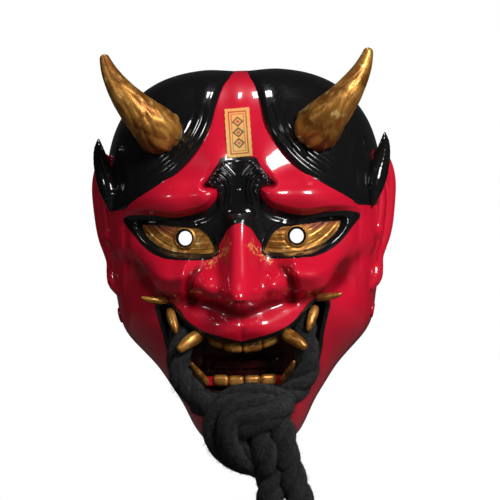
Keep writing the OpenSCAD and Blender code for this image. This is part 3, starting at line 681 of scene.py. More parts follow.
def paint_gold(t):
    """Gold over brown: rubbed bright in streaks, with a red-brown stain in the furrows, red-brown painted
    shade underneath, at roots and seams, black painted shade in the sight holes, and a painted highlight
    along the eyes' lower edges.
    """
    stain_and_shade = t.attribute("stain_and_shade")
    flake = t.noise(60, 5.0, rough=0.62, warp=0.8)
    rub = t.noise(190, 4.0, warp=0.5)
    bright = t.mix(flake.between(0.36, 0.66), GOLD_BROWN, GOLD)
    bright = t.mix(rub.between(0.56, 0.74) * (1 - stain_and_shade) * 0.8, bright, GOLD_RUBBED)
    stain = (stain_and_shade + (t.noise(55, 4.0) - 0.5) * 0.7).between(0.35, 0.85)
    colour = t.mix(stain * 0.9, bright, GOLD_STAIN_AND_SHADE)
    # Black where the attribute is full: painted shade inside the eyes' sight holes.
    colour = t.mix(stain_and_shade.between(0.95, 0.99), colour, BLACK)
    rough = 0.32 + 0.16 * flake + 0.15 * stain
    return {"Base Color": colour, "Metallic": 0.62 - 0.3 * stain, "Roughness": rough,
            "Normal": t.bump(flake * 0.8 + rub * 0.2, 0.001, 0.5)}


def paint_rope(t):
    """Black cotton: fibres drawn out along the strands, mottled at random, and greyer where they stand up
    as a painted sheen.
    """
    along, around = t.attribute("along"), t.attribute("around")
    sway = t.noise(240, 2.0) * 1.5
    run = t.node("ShaderNodeCombineXYZ", None, {"X": along * 160, "Y": around * 60, "Z": sway})
    streak = t.noise(1.0, 4.0, run, rough=0.65)
    tuft = t.noise(420, 4.0)
    fluff = t.noise(2400, 3.0)
    # Mottled at random, and paler where the surface stands up: a painted sheen.
    light = (0.55 * streak + 0.55 * tuft + 0.2 * fluff).between(0.5, 0.8)
    colour = t.mix(light, COTTON_DARK, COTTON_PALE)
    height = 0.7 * streak + 0.9 * tuft + 0.3 * fluff
    return {"Base Color": colour, "Roughness": 0.86 + 0.12 * fluff, "Normal": t.bump(height, 0.0024, 1.0)}


def paint_twine(t):
    """Waxed black twine with fine ribs, painted paler on their crests and darker between them as light and
    shade.
    """
    turn = t.node("ShaderNodeSeparateXYZ", None, {"Vector": t.place()}, "Z")
    ribs = (turn * 4200).math("SINE") * 0.5 + 0.5
    # Painted light and shade: paler on the ribs' crests, darker between them.
    colour = t.mix(ribs, TWINE_DARK, TWINE_PALE)
    rough = 0.6 + 0.2 * t.noise(900)
    return {"Base Color": colour, "Roughness": rough, "Normal": t.bump(ribs, 0.0005, 0.8)}


def paint_slip(t):
    """Yellowed paper with a brown frame and a column of plain lozenges."""
    x = t.node("ShaderNodeSeparateXYZ", None, {"Vector": t.node("ShaderNodeUVMap")}, "X")
    y = x.beside("Y")
    stain = t.noise(120, 5.0, rough=0.6)
    fibre = t.noise(900, 3.0)
    paper = t.mix((stain + y * 0.5 - 0.25).between(0.3, 0.7), PAPER, PAPER_BROWNED)
    paper = t.mix(fibre * 0.22, paper, PAPER_FIBRE)
    dx, dy = (x - 0.5).math("ABSOLUTE") * SLIP_W, (y - 0.5).math("ABSOLUTE") * SLIP_H
    reach = t.math("MAXIMUM", dx - 5.2, dy - 12.9)
    wobble = (t.noise(500, 2.0) - 0.5) * 0.5
    outer_line = 1 - (reach + wobble).math("ABSOLUTE").between(0.3, 0.55)
    inner_line = (1 - (reach + 1.5 + wobble).math("ABSOLUTE").between(0.15, 0.4)) * 0.8
    frames = t.math("MAXIMUM", outer_line, inner_line)
    pitch = 6.6
    step = ((y * SLIP_H - SLIP_H / 2) / pitch + 0.5).math("FRACT") - 0.5
    lozenge = dx / 3.4 + step.math("ABSOLUTE") * pitch / 3.1 + wobble * 0.5
    inside = 1 - dy.between(9.6, 10)
    rings = (1 - (lozenge - 0.85).math("ABSOLUTE").between(0.14, 0.28)) * inside
    hearts = (1 - lozenge.between(0.34, 0.46)) * inside
    marked = t.math("MAXIMUM", frames, hearts * 0.9) * (0.7 + 0.3 * stain)
    colour = t.mix(rings * 0.85, t.mix(marked, paper, SLIP_BROWN), SLIP_DARK)
    rough = 0.55 + 0.25 * fibre
    return {"Base Color": colour, "Roughness": rough, "Normal": t.bump(fibre + stain, 0.00025, 0.6)}


def paint_steel(t):
    """Bare steel, scuffed."""
    scuff = t.noise(900, 4.0)
    colour = t.mix(scuff, STEEL_DARK, STEEL_PALE)
    return {"Base Color": colour, "Roughness": 0.25 + 0.25 * scuff, "Normal": t.bump(scuff, 0.0001, 0.4)}


def paint_enamel(t):
    """Red enamel on the eyelets."""
    return {"Base Color": t.mix(t.noise(300, 3.0), RED, DEEP_RED), "Roughness": 0.18 + 0.1 * t.noise(900)}


COAT = {"Coat Roughness": 0.06, "Coat IOR": 1.5, "IOR": 1.5, "Specular IOR Level": 0.3}
face_lacquer = finish_of("red_and_black_lacquer", {**COAT, "Specular IOR Level": 0.18}, paint_face)
BLACK_COAT = {**COAT, "Specular IOR Level": 0.05, "Coat Weight": 0.9}
hair_lacquer = finish_of("pitted_black_lacquer", BLACK_COAT, paint_hair)
trim_lacquer = finish_of("smooth_black_lacquer", BLACK_COAT, paint_trim)
liner_lacquer = finish_of("mouth_lacquer", {**COAT, "Coat Weight": 0.6}, paint_liner)
gold_leaf = finish_of("antique_gold", {}, paint_gold)
NAP = {"Sheen Weight": 0.06, "Sheen Roughness": 0.6, "Specular IOR Level": 0.2}
cotton = finish_of("black_cotton", NAP, paint_rope)
twine = finish_of("waxed_twine", {}, paint_twine)
slip_paper = finish_of("yellow_paper", {}, paint_slip)
steel = finish_of("steel", {"Metallic": 1.0}, paint_steel)
red_enamel = finish_of("red_enamel", COAT, paint_enamel)


# ---------------------------------------------------------------- camera and light

def place_camera():
    """A long lens straight in front, turned a little, as the photo shows the mask."""
    far, view_width, sensor = 1.25, 0.3, 36
    camera = bpy.data.cameras.new("photo_camera")
    camera.sensor_width, camera.lens = sensor, sensor * far / view_width
    seat = added("photo_camera", camera)
    azimuth, roll = math.radians(2.5), math.radians(-1.2)
    aim = Vector((5.4, -60, -6.6)) * MM
    seat.location = aim + far * Vector((math.sin(azimuth), -math.cos(azimuth), 0))
    turn = (aim - seat.location).to_track_quat("-Z", "Y").to_matrix() @ Matrix.Rotation(roll, 3, "Z")
    seat.rotation_euler = turn.to_euler()
    bpy.context.scene.camera = seat


def hang_lamps():
    """Soft boxes, and fills that don't mirror in the lacquer."""
    lamps = [  # name, place, aim, width, height, watts
        ("key_box", (0.66, -1.0, 0.68), (0.02, -0.06, 0), 0.34, 0.46, 19.5),
        ("top_box", (0.0, 0.06, 1.15), (0, -0.05, 0.08), 0.14, 0.2, 3),
        ("left_box", (-0.78, -0.95, 0.52), (0, -0.06, 0), 0.14, 0.18, 2),
        ("jaw_fill", (0.85, -0.55, -0.3), (0.04, -0.05, -0.06), 0.5, 0.5, 4),
        ("back_fill", (-0.5, 1.2, 0.4), (0, 0, 0), 0.6, 0.6, 14),
    ]
    for name, place, towards, width, height, watts in lamps:
        lamp = bpy.data.lights.new(name, "AREA")
        lamp.shape, lamp.size, lamp.size_y, lamp.energy = "RECTANGLE", width, height, watts
        holder = added(name, lamp)
        holder.location = place
        holder.rotation_euler = (Vector(towards) - Vector(place)).to_track_quat("-Z", "Y").to_euler()
        holder.visible_glossy = not name.endswith("fill")


def light_world():
    """White to the camera, dim around the mask, and dimmer still in the lacquer's reflections."""
    world = bpy.data.worlds.new("studio")
    bpy.context.scene.world = world
    world.use_nodes = True
    t = Tree(world.node_tree)
    rays = t.node("ShaderNodeLightPath", output="Is Camera Ray")
    clear, mirror = rays.beside("Is Transmission Ray"), rays.beside("Is Glossy Ray")
    way = t.node("ShaderNodeTexCoord", output="Generated")
    toward = t.node("ShaderNodeSeparateXYZ", None, {"Vector": way}, "Y")
    ambient, reflected, reflected_back = 0.11, 0.008, 0.02
    glint = reflected + reflected_back * toward.between(0.6, 1.0)
    around = t.math("MAXIMUM", mirror * glint, (1 - mirror) * ambient)
    seen = t.math("MAXIMUM", rays, clear)
    back = world.node_tree.nodes["Background"]
    back.inputs["Color"].default_value = (1, 1, 1, 1)
    t.feed(back.inputs["Strength"], t.math("MAXIMUM", seen, around))


def lay_floor():
    """A floor that looks white and is dark to everything but the camera."""
    drop, half, back = -0.225, 0.9, 0.5
    mesh = bpy.data.meshes.new("floor")
    corners = [(-half, -half, drop), (half, -half, drop), (half, back, drop), (-half, back, drop)]
    mesh.from_pydata(corners, [], [(0, 1, 2, 3)])
    floor = added("floor", mesh)
    pale = bpy.data.materials.new("pale_floor")
    pale.use_nodes = True
    t = Tree(pale.node_tree)
    shader = pale.node_tree.nodes["Principled BSDF"]
    shader.inputs["Roughness"].default_value = 0.9
    shader.inputs["Emission Strength"].default_value = 0.75
    rays = t.node("ShaderNodeLightPath", output="Is Camera Ray")
    dim, grey, none, white = [(v, v, v, 1) for v in (0.05, 0.5, 0, 1)]
    t.feed(shader.inputs["Base Color"], t.mix(rays, dim, grey))
    t.feed(shader.inputs["Emission Color"], t.mix(rays, none, white))
    floor.data.materials.append(pale)


place_camera()
hang_lamps()
light_world()
lay_floor()


# ---------------------------------------------------------------- the shell's face

# The right eye's sight hole, its turn to the side and its slant, and how far off the hole the plate bulges
EYE_MIDDLE, EYE_YAW, EYE_SLANT = (32.5, -60.0, 1.3), math.radians(18), math.radians(19)
LENS_SHIFT, LENS_SINK = 4.9, 2.6
# The right eye's lids seen from the front, from the inner corner out and back
UPPER_LID = [(14, -6.6), (16.4, -0.6), (19.6, 4.4), (24.2, 7.4), (31, 8.3), (38.4, 9.1), (48, 10.2),
             (61, 10.7)]
LOWER_LID = [(61, 10.7), (59.6, 6.9), (56.4, 2.4), (50.4, -2.5), (44.4, -5.5), (37, -7.4), (26.4, -8.6),
             (18, -8.6), (14, -6.6)]


def in_eye_plane(points):
    """Places seen from the front, in the right eye's own plane."""
    x, z = np.asarray(points, float).T
    across, up = (x - EYE_MIDDLE[0]) / math.cos(EYE_YAW), z - EYE_MIDDLE[2]
    c, n = math.cos(EYE_SLANT), math.sin(EYE_SLANT)
    return np.stack([across * c + up * n, up * c - across * n], axis=1)


def lens(grow, count=160):
    """Outline of the eye in its own plane, grown outwards; its second half is the lower lid."""
    half = count // 2 + 1
    line = np.vstack([curve_through(in_eye_plane(lid), half)[:-1] for lid in (UPPER_LID, LOWER_LID)])
    run = np.roll(line, -1, axis=0) - np.roll(line, 1, axis=0)
    out = np.stack([-run[:, 1], run[:, 0]], axis=1) / np.linalg.norm(run, axis=1)[:, None]
    for _ in range(3):
        out = np.roll(out, 1, axis=0) + 2 * out + np.roll(out, -1, axis=0)
        out /= np.linalg.norm(out, axis=1)[:, None]
    return line + grow * out


def at_eye(points):
    """Points (along the eye, up, outwards) in the right eye's place."""
    u, v, w = np.asarray(points, float).T
    c, n = math.cos(EYE_SLANT), math.sin(EYE_SLANT)
    across, up = u * c - v * n, u * n + v * c
    x = across * math.cos(EYE_YAW) + w * math.sin(EYE_YAW)
    y = across * math.sin(EYE_YAW) - w * math.cos(EYE_YAW)
    return np.stack([x, y, up], axis=1) + EYE_MIDDLE


def both(part):
    """A part of the right side and its mirror image."""
    return [part, (flipped(part[0]), part[1])]


def bar(middle, axis, radius, back, front, sides=40):
    """A closed rod along an axis, from back behind its middle to front before it."""
    axis = np.asarray(axis, float) / np.linalg.norm(axis)
    line = np.asarray(middle, float) + axis * np.linspace(-back, front, 2)[:, None]
    return swept(line, radius, sides)


# The right eyelet's place in the shell's wall and the way it looks out, as in the part's source
EYELET_AT, EYELET_AXIS = (76.831, -11.0, -45.203), (0.978263, 0, -0.207366)

# Reach of the height map: to the side, down and up
MAP_WIDE, MAP_LOW, MAP_HIGH = 91.0, -130.0, 109.0


def height_map():
    """Heights of the face's right half, a point a mm, and the same smoothed."""
    x, z = np.meshgrid(np.arange(0, MAP_WIDE), np.arange(MAP_LOW, MAP_HIGH), indexing="ij")
    h = face_h(x, z)
    reach = 8
    k = np.exp(-(np.arange(-reach, reach + 1) / 3.0) ** 2)
    soft = np.pad(h, reach, mode="reflect")
    soft = np.apply_along_axis(np.convolve, 0, soft, k / k.sum(), "valid")
    soft = np.apply_along_axis(np.convolve, 1, soft, k / k.sum(), "valid")
    return h, soft


def looked_up(grid, x, z):
    """A height map's value at places between its points."""
    margin = 1.01  # keeps the next point on the map
    i, j = np.clip(np.abs(x), 0, MAP_WIDE - margin), np.clip(z - MAP_LOW, 0, MAP_HIGH - MAP_LOW - margin)
    i0, j0 = i.astype(int), j.astype(int)
    fi, fj = i - i0, j - j0
    return ((1 - fi) * ((1 - fj) * grid[i0, j0] + fj * grid[i0, j0 + 1])
            + fi * ((1 - fj) * grid[i0 + 1, j0] + fj * grid[i0 + 1, j0 + 1]))


HEIGHTS, SOFT_HEIGHTS = height_map()


def shell_back(x, z):
    """Height of the shell's inner face above the rim."""
    n = narrowing(x, z)
    part = share_of(x / n, z / n)
    return np.minimum(inner_dome(part) + fade(part) * plain_relief(x / n, z / n), face_h(x, z) - THINNEST)


def make_face():
    """The red shell, with openings for the mouth, the eyes and the eyelets."""
    jaw = np.array([rim_at(a) for a in np.linspace(167, 373, 250)])[1:-1]
    peak = np.array([rim_at(a) for a in np.linspace(88, 92, 10)])[1:-1]
    edge = np.vstack([HAIRLINE, peak, HAIRLINE[::-1] * (-1, 1), jaw])

    def rings(count):
        """Places on rings from the middle to the edge, closer together near it."""
        u = np.arange(1, count + 1)[:, None] / count
        s = 1.5 * u - 0.5 * u ** 3
        return s * edge[:, 0], s * edge[:, 1]

    front_rings, back_rings = 150, 34
    x, z = rings(front_rings)
    outer = np.stack([x, -face_h(x, z), z], axis=-1)
    x, z = rings(back_rings)
    n, part = narrowing(x, z), share_of(x, z)
    back = np.minimum(inner_dome(part) + fade(part) * plain_relief(x, z), face_h(x * n, z * n) - THINNEST)
    inner = np.stack([x * n, -back, z * n], axis=-1)
    top = float(face_h(np.zeros(1), np.zeros(1))[0])
    shell = mesh_of("face", *closed_disc(outer, (0, -top, 0), inner, (0, -top + 5, 0)))

    holes = [prism(MOUTH, -10, 140, lambda p: p[:, [0, 2, 1]] * (1, -1, 1))]
    holes += both(prism(lens(3.2), -9, 60, at_eye)) + both(bar(EYELET_AT, EYELET_AXIS, 3.8, 9, 9))
    shell = cut(shell, holes)

    x, y, z = points_of(shell).T
    ax = np.abs(x)
    black = depth_inside(BLACK_EDGE, ax, z)
    lip = 2.5 + depth_inside(MOUTH_HALF_WIDE, ax, z)
    set_attribute(shell, "black_depth", np.maximum(black, lip))
    inside = soft_step(0.3, 1.2, face_h(x, z) + y)
    set_attribute(shell, "inside", inside)
    gilt = ridge(ax, z, [(6, -3.6), (9.6, -7.4), (13.4, -11), (18.6, -15)], 2.2)
    set_attribute(shell, "gilt", gilt * (1 - inside))
    # Painted shade: darker red in the face's creases, at the nostrils, under the nose, beside the nose
    # wings and below the cheeks.
    dip = (looked_up(SOFT_HEIGHTS, x, z) - looked_up(HEIGHTS, x, z)) / 1.6
    shaded = 0.95 * mound(ax, z, (16, -38.4), (8, 3.2)) + 0.5 * mound(ax, z, (0, -44.5), (9, 2.6))
    shaded += 0.7 * ridge(ax, z, [(25, -17), (29, -22), (31, -28), (30.6, -35)], 2.4)
    cheek_edge = np.exp(-((depth_inside(CHEEK, ax, z) + 3) / 3.4) ** 2)
    shaded += 0.9 * cheek_edge * soft_step(40, 48, ax) * (1 - soft_step(-14, -4, z))
    set_attribute(shell, "hollow", np.clip(np.clip(dip, 0, 1) + shaded, 0, 1))
    return piece("face", shell, face_lacquer, "mask", ["face_shell"])


# ---------------------------------------------------------------- hair, locks, ears

def hair_top(x, z):
    """The hair lobe's height and the distance from the hairline: a soft roll along it, finer rolls beside
    the horn and folds at the temple."""
    d = edge_distance(HAIRLINE, np.abs(x), z)
    x = np.abs(x)
    near = soft_step(34, 46, z) * (1 - soft_step(70, 84, z))
    h = hair_base(x, z) + (0.5 + 0.5 * near) * np.exp(-((d - 3) / 1.7) ** 2)
    h += soft_step(66, 84, z) * (1.5 * np.exp(-((d - 7) / 5) ** 2) - 2.2 * np.exp(-(x / 7) ** 2))
    h += near * (0.9 * np.exp(-((d - 7.8) / 1.2) ** 2) - 0.8 * np.exp(-((d - 5.3) / 1.1) ** 2)
                 - 0.8 * np.exp(-((d - 10.6) / 1.4) ** 2) + 0.5 * np.exp(-((d - 13) / 1.3) ** 2))
    temple = soft_step(58, 70, x) * (1 - soft_step(50, 66, z)) * soft_step(4, 9, d)
    h += temple * (1.0 * np.exp(-((x - 68) / 2.6) ** 2) - 1.1 * np.exp(-((x - 73) / 2.4) ** 2))
    return h, d


HORN_X, HORN_Z = 46.0, 64.0


def hair_point(x, z):
    """The place on the plain hair lobe."""
    return np.array([x, -float(hair_base(np.array(x), np.array(z))), z])


# The right horn's seat on the hair, the way straight out of it, and the horn's root sunk below it
HORN_SEAT = hair_point(HORN_X, HORN_Z)
HORN_OUT = np.cross(hair_point(HORN_X + 1, HORN_Z) - hair_point(HORN_X - 1, HORN_Z),
                    hair_point(HORN_X, HORN_Z + 1) - hair_point(HORN_X, HORN_Z - 1))
HORN_OUT /= np.linalg.norm(HORN_OUT)
HORN_ROOT = HORN_SEAT - HORN_OUT * 2.6


def make_hair(side, left):
    """A black lobe from the hairline to the rim, with a pocket behind the horn."""
    line = HAIRLINE[1:-1]
    lap = 1.3
    away = line / np.linalg.norm(line, axis=1)[:, None]
    start = line - away * lap
    end = away * rim_r(np.arctan2(line[:, 1], line[:, 0]))[:, None]
    u = np.linspace(0, 1, 84)
    s = u ** 1.15 * (1.5 - 0.5 * u ** 2)
    grid = start[:, None] + (end - start)[:, None] * s[:, None]
    x, z = grid[..., 0], grid[..., 1]
    h, d = hair_top(x, z)
    sunk = np.hypot(x, z) < np.hypot(line[:, :1], line[:, 1:])
    d = np.where(sunk, -d, d)
    rise = np.sqrt(1 - (1 - np.clip((d + 1.2) / 3.6, 0, 1)) ** 2)
    low = face_h(x, z) - 0.9
    h = low + (h - low) * rise
    part, n = share_of(x, z), narrowing(x, z)
    swell = 1 + 0.014 * soft_step(0.6, 0.95, part) * soft_step(30, 75, z) * soft_step(4, 24, np.abs(x))
    top = np.stack([x * swell, -h, z * swell], axis=-1)
    bottom = np.stack([x * n, -np.minimum(inner_dome(part), h - 2), z * n], axis=-1)
    points, faces = closed_patch(top, bottom)
    pocket, pocket_faces = bar(HORN_ROOT, HORN_OUT, 5.3, 60, 0)
    lobe = mesh_of("hair_" + side, mirrored(left, points), faces)
    lobe = cut(lobe, [(mirrored(left, pocket), pocket_faces)])
    return piece("hair_lobe_" + side, lobe, hair_lacquer, "mask", ["hair_" + side], 50)


def make_lock(side, left):
    """A pointed lock of hair in front of the ear."""
    spine = curve_through([
        (88.3, -26, 63.8, 0.7), (88, -28.5, 57, 3.2), (86.2, -31, 48, 5), (82.9, -34.5, 37, 6.2),
        (80.6, -37, 28.5, 5.2), (80, -39, 19.5, 1.3)], 16)
    points, faces = carved((70, -48, 14), (94, -20, 66), 0.7, lambda p: limb(p, spine))
    mesh = mesh_of("side_lock_" + side, mirrored(left, points), faces)
    return piece("lock_" + side, mesh, trim_lacquer, "mask", ["side_lock_" + side], 60)


def outside_head(p):
    """Rough distance of places from the side of the plain dome, positive outside."""
    x, y, z = p[..., 0], p[..., 1], p[..., 2]
    r = rim_r(np.arctan2(z, x))
    return np.hypot(x, z) - r * np.cbrt(np.clip(1 - (y / DOME_D) ** 2, 0, None))


def make_ear(side, left):
    """A long ear: its rim, the bowl, the fold in front of it, a knob and a shelf, all blended."""
    rim = curve_through([
        (86, -16, 52, 3.4), (89.2, -13, 43, 4.2), (90.4, -11.5, 32, 4.5), (88.8, -11.5, 14, 4.6),
        (86.8, -12.4, 3, 4.6), (84, -13.5, -5.5, 4.4), (81.8, -17.5, -12, 4.3), (80.8, -20.5, -19, 5),
        (79.6, -22, -24.5, 5.4), (76.8, -23.5, -29.4, 4.4)], 40)
    fold = curve_through([
        (84, -25, 36, 2.8), (84.6, -25, 23, 3.3), (82.8, -26, 9, 3.6), (80.4, -26.5, -4, 3.6),
        (78, -24, -15, 3.6)], 20)
    bowl = curve_through([
        (82, -19, 46, 5), (84.6, -18.5, 29, 6), (83.4, -19, 12, 6.2), (80.4, -19.5, -3, 6.2),
        (77.2, -19, -16, 6.4), (75.4, -18.5, -26, 5.6)], 20)
    knob = curve_through([(77.8, -32, 1, 4.2), (77, -31.5, -6, 3.6), (75.6, -29.5, -12, 2)], 12)
    shelf = curve_through([(73.6, -34.8, 0, 3.4), (77.8, -32, 1.2, 4.2), (82.6, -26.6, 2.8, 3.8)], 12)
    fillet, sunk, lap = 2.4, 2, 1.6

    def distance(p):
        d = blend_min(limb(p, rim), limb(p, bowl) + sunk, fillet)
        d = blend_min(d, limb(p, fold), fillet)
        d = blend_min(d, np.minimum(limb(p, knob), limb(p, shelf)), fillet)
        return np.maximum(d, -lap - outside_head(p))

    points, faces = carved((66, -42, -38), (98, -4, 60), 0.9, distance)
    mesh = mesh_of("ear_" + side, mirrored(left, points), faces)
    p = mirrored(left, points_of(mesh))
    # Painted shade in the ear's bowl, darker away from the rim and the fold.
    pit = np.minimum(limb(p, rim), limb(p, fold))
    marks = {"black_depth": -9.0, "inside": 0.0, "gilt": 0.0, "hollow": np.clip(pit / 6, 0, 0.5)}
    for name, value in marks.items():
        set_attribute(mesh, name, np.broadcast_to(value, len(p)))
    return piece("long_ear_" + side, mesh, face_lacquer, "mask", ["ear_" + side], 60)


# ---------------------------------------------------------------- brow crest and eyes

def make_crest():
    """The carved black ornament between the brows."""
    peak, foot = 47.6, 10.5
    width = np.array([  # height, half width
        (peak, 6), (46.6, 9.4), (43, 13), (38, 17), (34.6, 19.4), (33.2, 19.6), (31.8, 17.6), (30.6, 14.2),
        (28, 12.2), (24, 12.6), (19, 12.8), (14, 10.6), (foot, 6.5)])
    z = np.linspace(peak, foot, 170)
    half = np.interp(z, width[::-1, 0], width[::-1, 1])
    half = np.convolve(np.pad(half, 4, mode="edge"), np.ones(9) / 9, "valid")
    c = np.linspace(-1, 1, 171)
    x, z = half[:, None] * c, np.repeat(z[:, None], len(c), axis=1)
    ax = np.abs(x)
    outline = np.stack([half, z[:, 0]], axis=1)[::3]
    edge = np.minimum(edge_distance(outline, ax, z), np.minimum(peak - z, z - foot))
    roll = np.sqrt(1 - (1 - np.clip(edge / 2.4, 0, 1)) ** 2) * (0.25 + 0.75 * soft_step(14, 26, z))
    h = looked_up(SOFT_HEIGHTS, x, z) - 0.6 + 3 * roll
    lines = [  # points, width, rise
        ([(11, 46), (7, 42.2), (3, 38)], 0.6, 1.0),
        ([(12.8, 44.6), (8.8, 40.8), (4.8, 36.6)], 0.6, 0.9),
        ([(14, 41.6), (8.8, 39), (5.6, 34.4), (4.9, 28), (6.2, 21.4)], 0.75, 1.4),
        ([(15, 39.2), (10.6, 36.8), (7.6, 33), (6.8, 28), (8.4, 20.6)], 0.75, 1.3),
        ([(10.4, 31.4), (9.4, 29), (10.6, 26.4), (11, 23)], 0.7, 0.9),
        ([(13, 35.8), (15.6, 36.2), (17.6, 34.6), (16.6, 33.2), (14.8, 33.6)], 0.7, 1.0)]
    inner = soft_step(0.4, 1.6, edge)
    for points, thick, rise in lines:
        h += inner * rise * ridge(ax, z, points, thick)
    h += inner * (1.1 * mound(ax, z, (11.6, 34.6), (1.1, 1.1)) + 0.6 * mound(ax, z, (0, 29), (1.2, 1.2)))
    top = np.stack([x, -h, z], axis=-1)
    bottom = np.stack([x, -(looked_up(SOFT_HEIGHTS, x, z) - 1.6), z], axis=-1)
    mesh = mesh_of("crest", *closed_patch(top, bottom))
    return piece("carved_crest", mesh, trim_lacquer, "mask", ["brow_crest"], 75)


def plate_bulge(u, v):
    """Height of the gold plate: the cap of a ball."""
    half, high = 23.5, 4
    ball = (half ** 2 + high ** 2) / (2 * high)
    rise = np.sqrt(np.clip(ball ** 2 - (u - LENS_SHIFT) ** 2 - (v + LENS_SINK) ** 2, 1, None)) - ball + high
    return np.maximum(rise, -0.8)


def on_face(flat):
    """How far out of the eye's plane the face lies, at places in that plane."""
    w = np.zeros(len(flat))
    for _ in range(14):
        x, y, z = at_eye(np.column_stack([flat, w])).T
        w += 0.7 * (y + face_h(x, z)) / math.cos(EYE_YAW)
    return w


def make_plate(side, left):
    """A bulging gold plate around its sight hole, with a raised collar and brushed streaks."""
    rays, rings, hole = 200, 44, 5.4
    edge = lens(-0.1, rays)
    way = edge / np.linalg.norm(edge, axis=1)[:, None]
    s = np.linspace(0, 1, rings)[:, None, None] ** 1.25
    flat = hole * way + (edge - hole * way) * s
    u, v = flat[..., 0], flat[..., 1]
    r = np.hypot(u, v)
    collar = 0.45 * soft_step(hole, 5.8, r) * (1 - soft_step(6, 6.8, r))
    collar -= 0.25 * np.exp(-((r - 7.4) / 0.8) ** 2)
    bow = v - 0.012 * (u - 4) ** 2
    streaks = (0.5 * np.sin(bow * 1.15 + 0.6 * np.sin(u * 0.21))
               + 0.35 * np.sin(bow * 2.1 + 0.9 * np.sin(u * 0.13 + 1) + 2)
               + 0.2 * np.sin(bow * 3.7 + u * 0.11))
    w = plate_bulge(u, v) + collar + 0.2 * streaks * soft_step(6.4, 9, r)
    w -= 0.4 * (1 - soft_step(hole, 5.7, r))
    front = np.stack([u, v, w], axis=-1)
    sight = 4.3 * way + np.array([math.cos(EYE_SLANT), -math.sin(EYE_SLANT)]) * 6 * math.tan(EYE_YAW)
    flare = sight + (edge - sight) * s
    back = np.stack([flare[..., 0], flare[..., 1], np.full_like(u, -2.5)], axis=-1)
    count = rings * rays
    points = np.vstack([at_eye(front.reshape(-1, 3)), at_eye(back.reshape(-1, 3))])
    faces = ring_faces(rings, rays) + ring_faces(rings, rays, count)
    for k in range(rays):
        n = (k + 1) % rays
        faces.append([k, n, count + n, count + k])
        faces.append([count - rays + k, count - rays + n, 2 * count - rays + n, 2 * count - rays + k])
    # Painted shade on the gold: darker in the sight hole and over the upper half under the brow; painted
    # light: paler along the lower edge. The collar's furrow and the streaks' valleys take the stain.
    upper = soft_step(-3, 4, v + 0.1 * u)
    near_edge = 1 - soft_step(0.8, 3.4, edge_gap(edge, flat))
    shade = 1.6 * (1 - soft_step(hole, 5.9, r)) + 0.2 * np.exp(-((r - 7.3) / 0.8) ** 2)
    shade += 0.2 * (0.4 - streaks)
    shade += 0.65 * upper * soft_step(5, 12, u) + 0.2 * upper - 0.3 * near_edge * (1 - upper)
    grooves = np.clip(np.concatenate([shade.ravel(), np.ones(count)]), 0, 1)
    mesh = gilded("eye_plate_" + side, mirrored(left, points), faces, grooves)
    return piece("gold_eye_" + side, mesh, gold_leaf, "mask", ["eye_plate_" + side], 50)


def make_lid(side, left):
    """The black lids, a ring from the face down to the gold plate, thicker below the eye."""
    count, wide, narrow = 240, 3.5, -0.5
    outer, inner = lens(wide, count), lens(narrow, count)
    lower = (np.arange(count) >= count // 2) * 1.0
    low = np.convolve(np.pad(lower, 12, mode="wrap"), np.ones(25) / 25, "valid")
    w_out, w_in = on_face(outer) - 0.1, plate_bulge(*inner.T) + 0.75
    loops = [np.column_stack([lens(3.0, count), w_out - 2.5])]
    for t in np.linspace(0, 1, 11):
        flat = lens(wide + (narrow - wide) * t, count)
        lift = w_out + (w_in - w_out) * soft_step(0, 1, t) + (0.2 + 0.8 * low) * math.sin(math.pi * t)
        loops.append(np.column_stack([flat, lift]))
    loops.append(np.column_stack([inner, np.full(count, -2.2)]))
    points = at_eye(np.vstack(loops))
    faces = ring_faces(len(loops), count)
    last = (len(loops) - 1) * count
    faces += [[last + k, last + (k + 1) % count, (k + 1) % count, k] for k in range(count)]
    mesh = mesh_of("eye_lid_" + side, mirrored(left, points), faces)
    nodes = ["eye_bezel_" + side]
    return piece("black_lid_" + side, mesh, trim_lacquer, "mask", nodes, 60)


# ---------------------------------------------------------------- horns

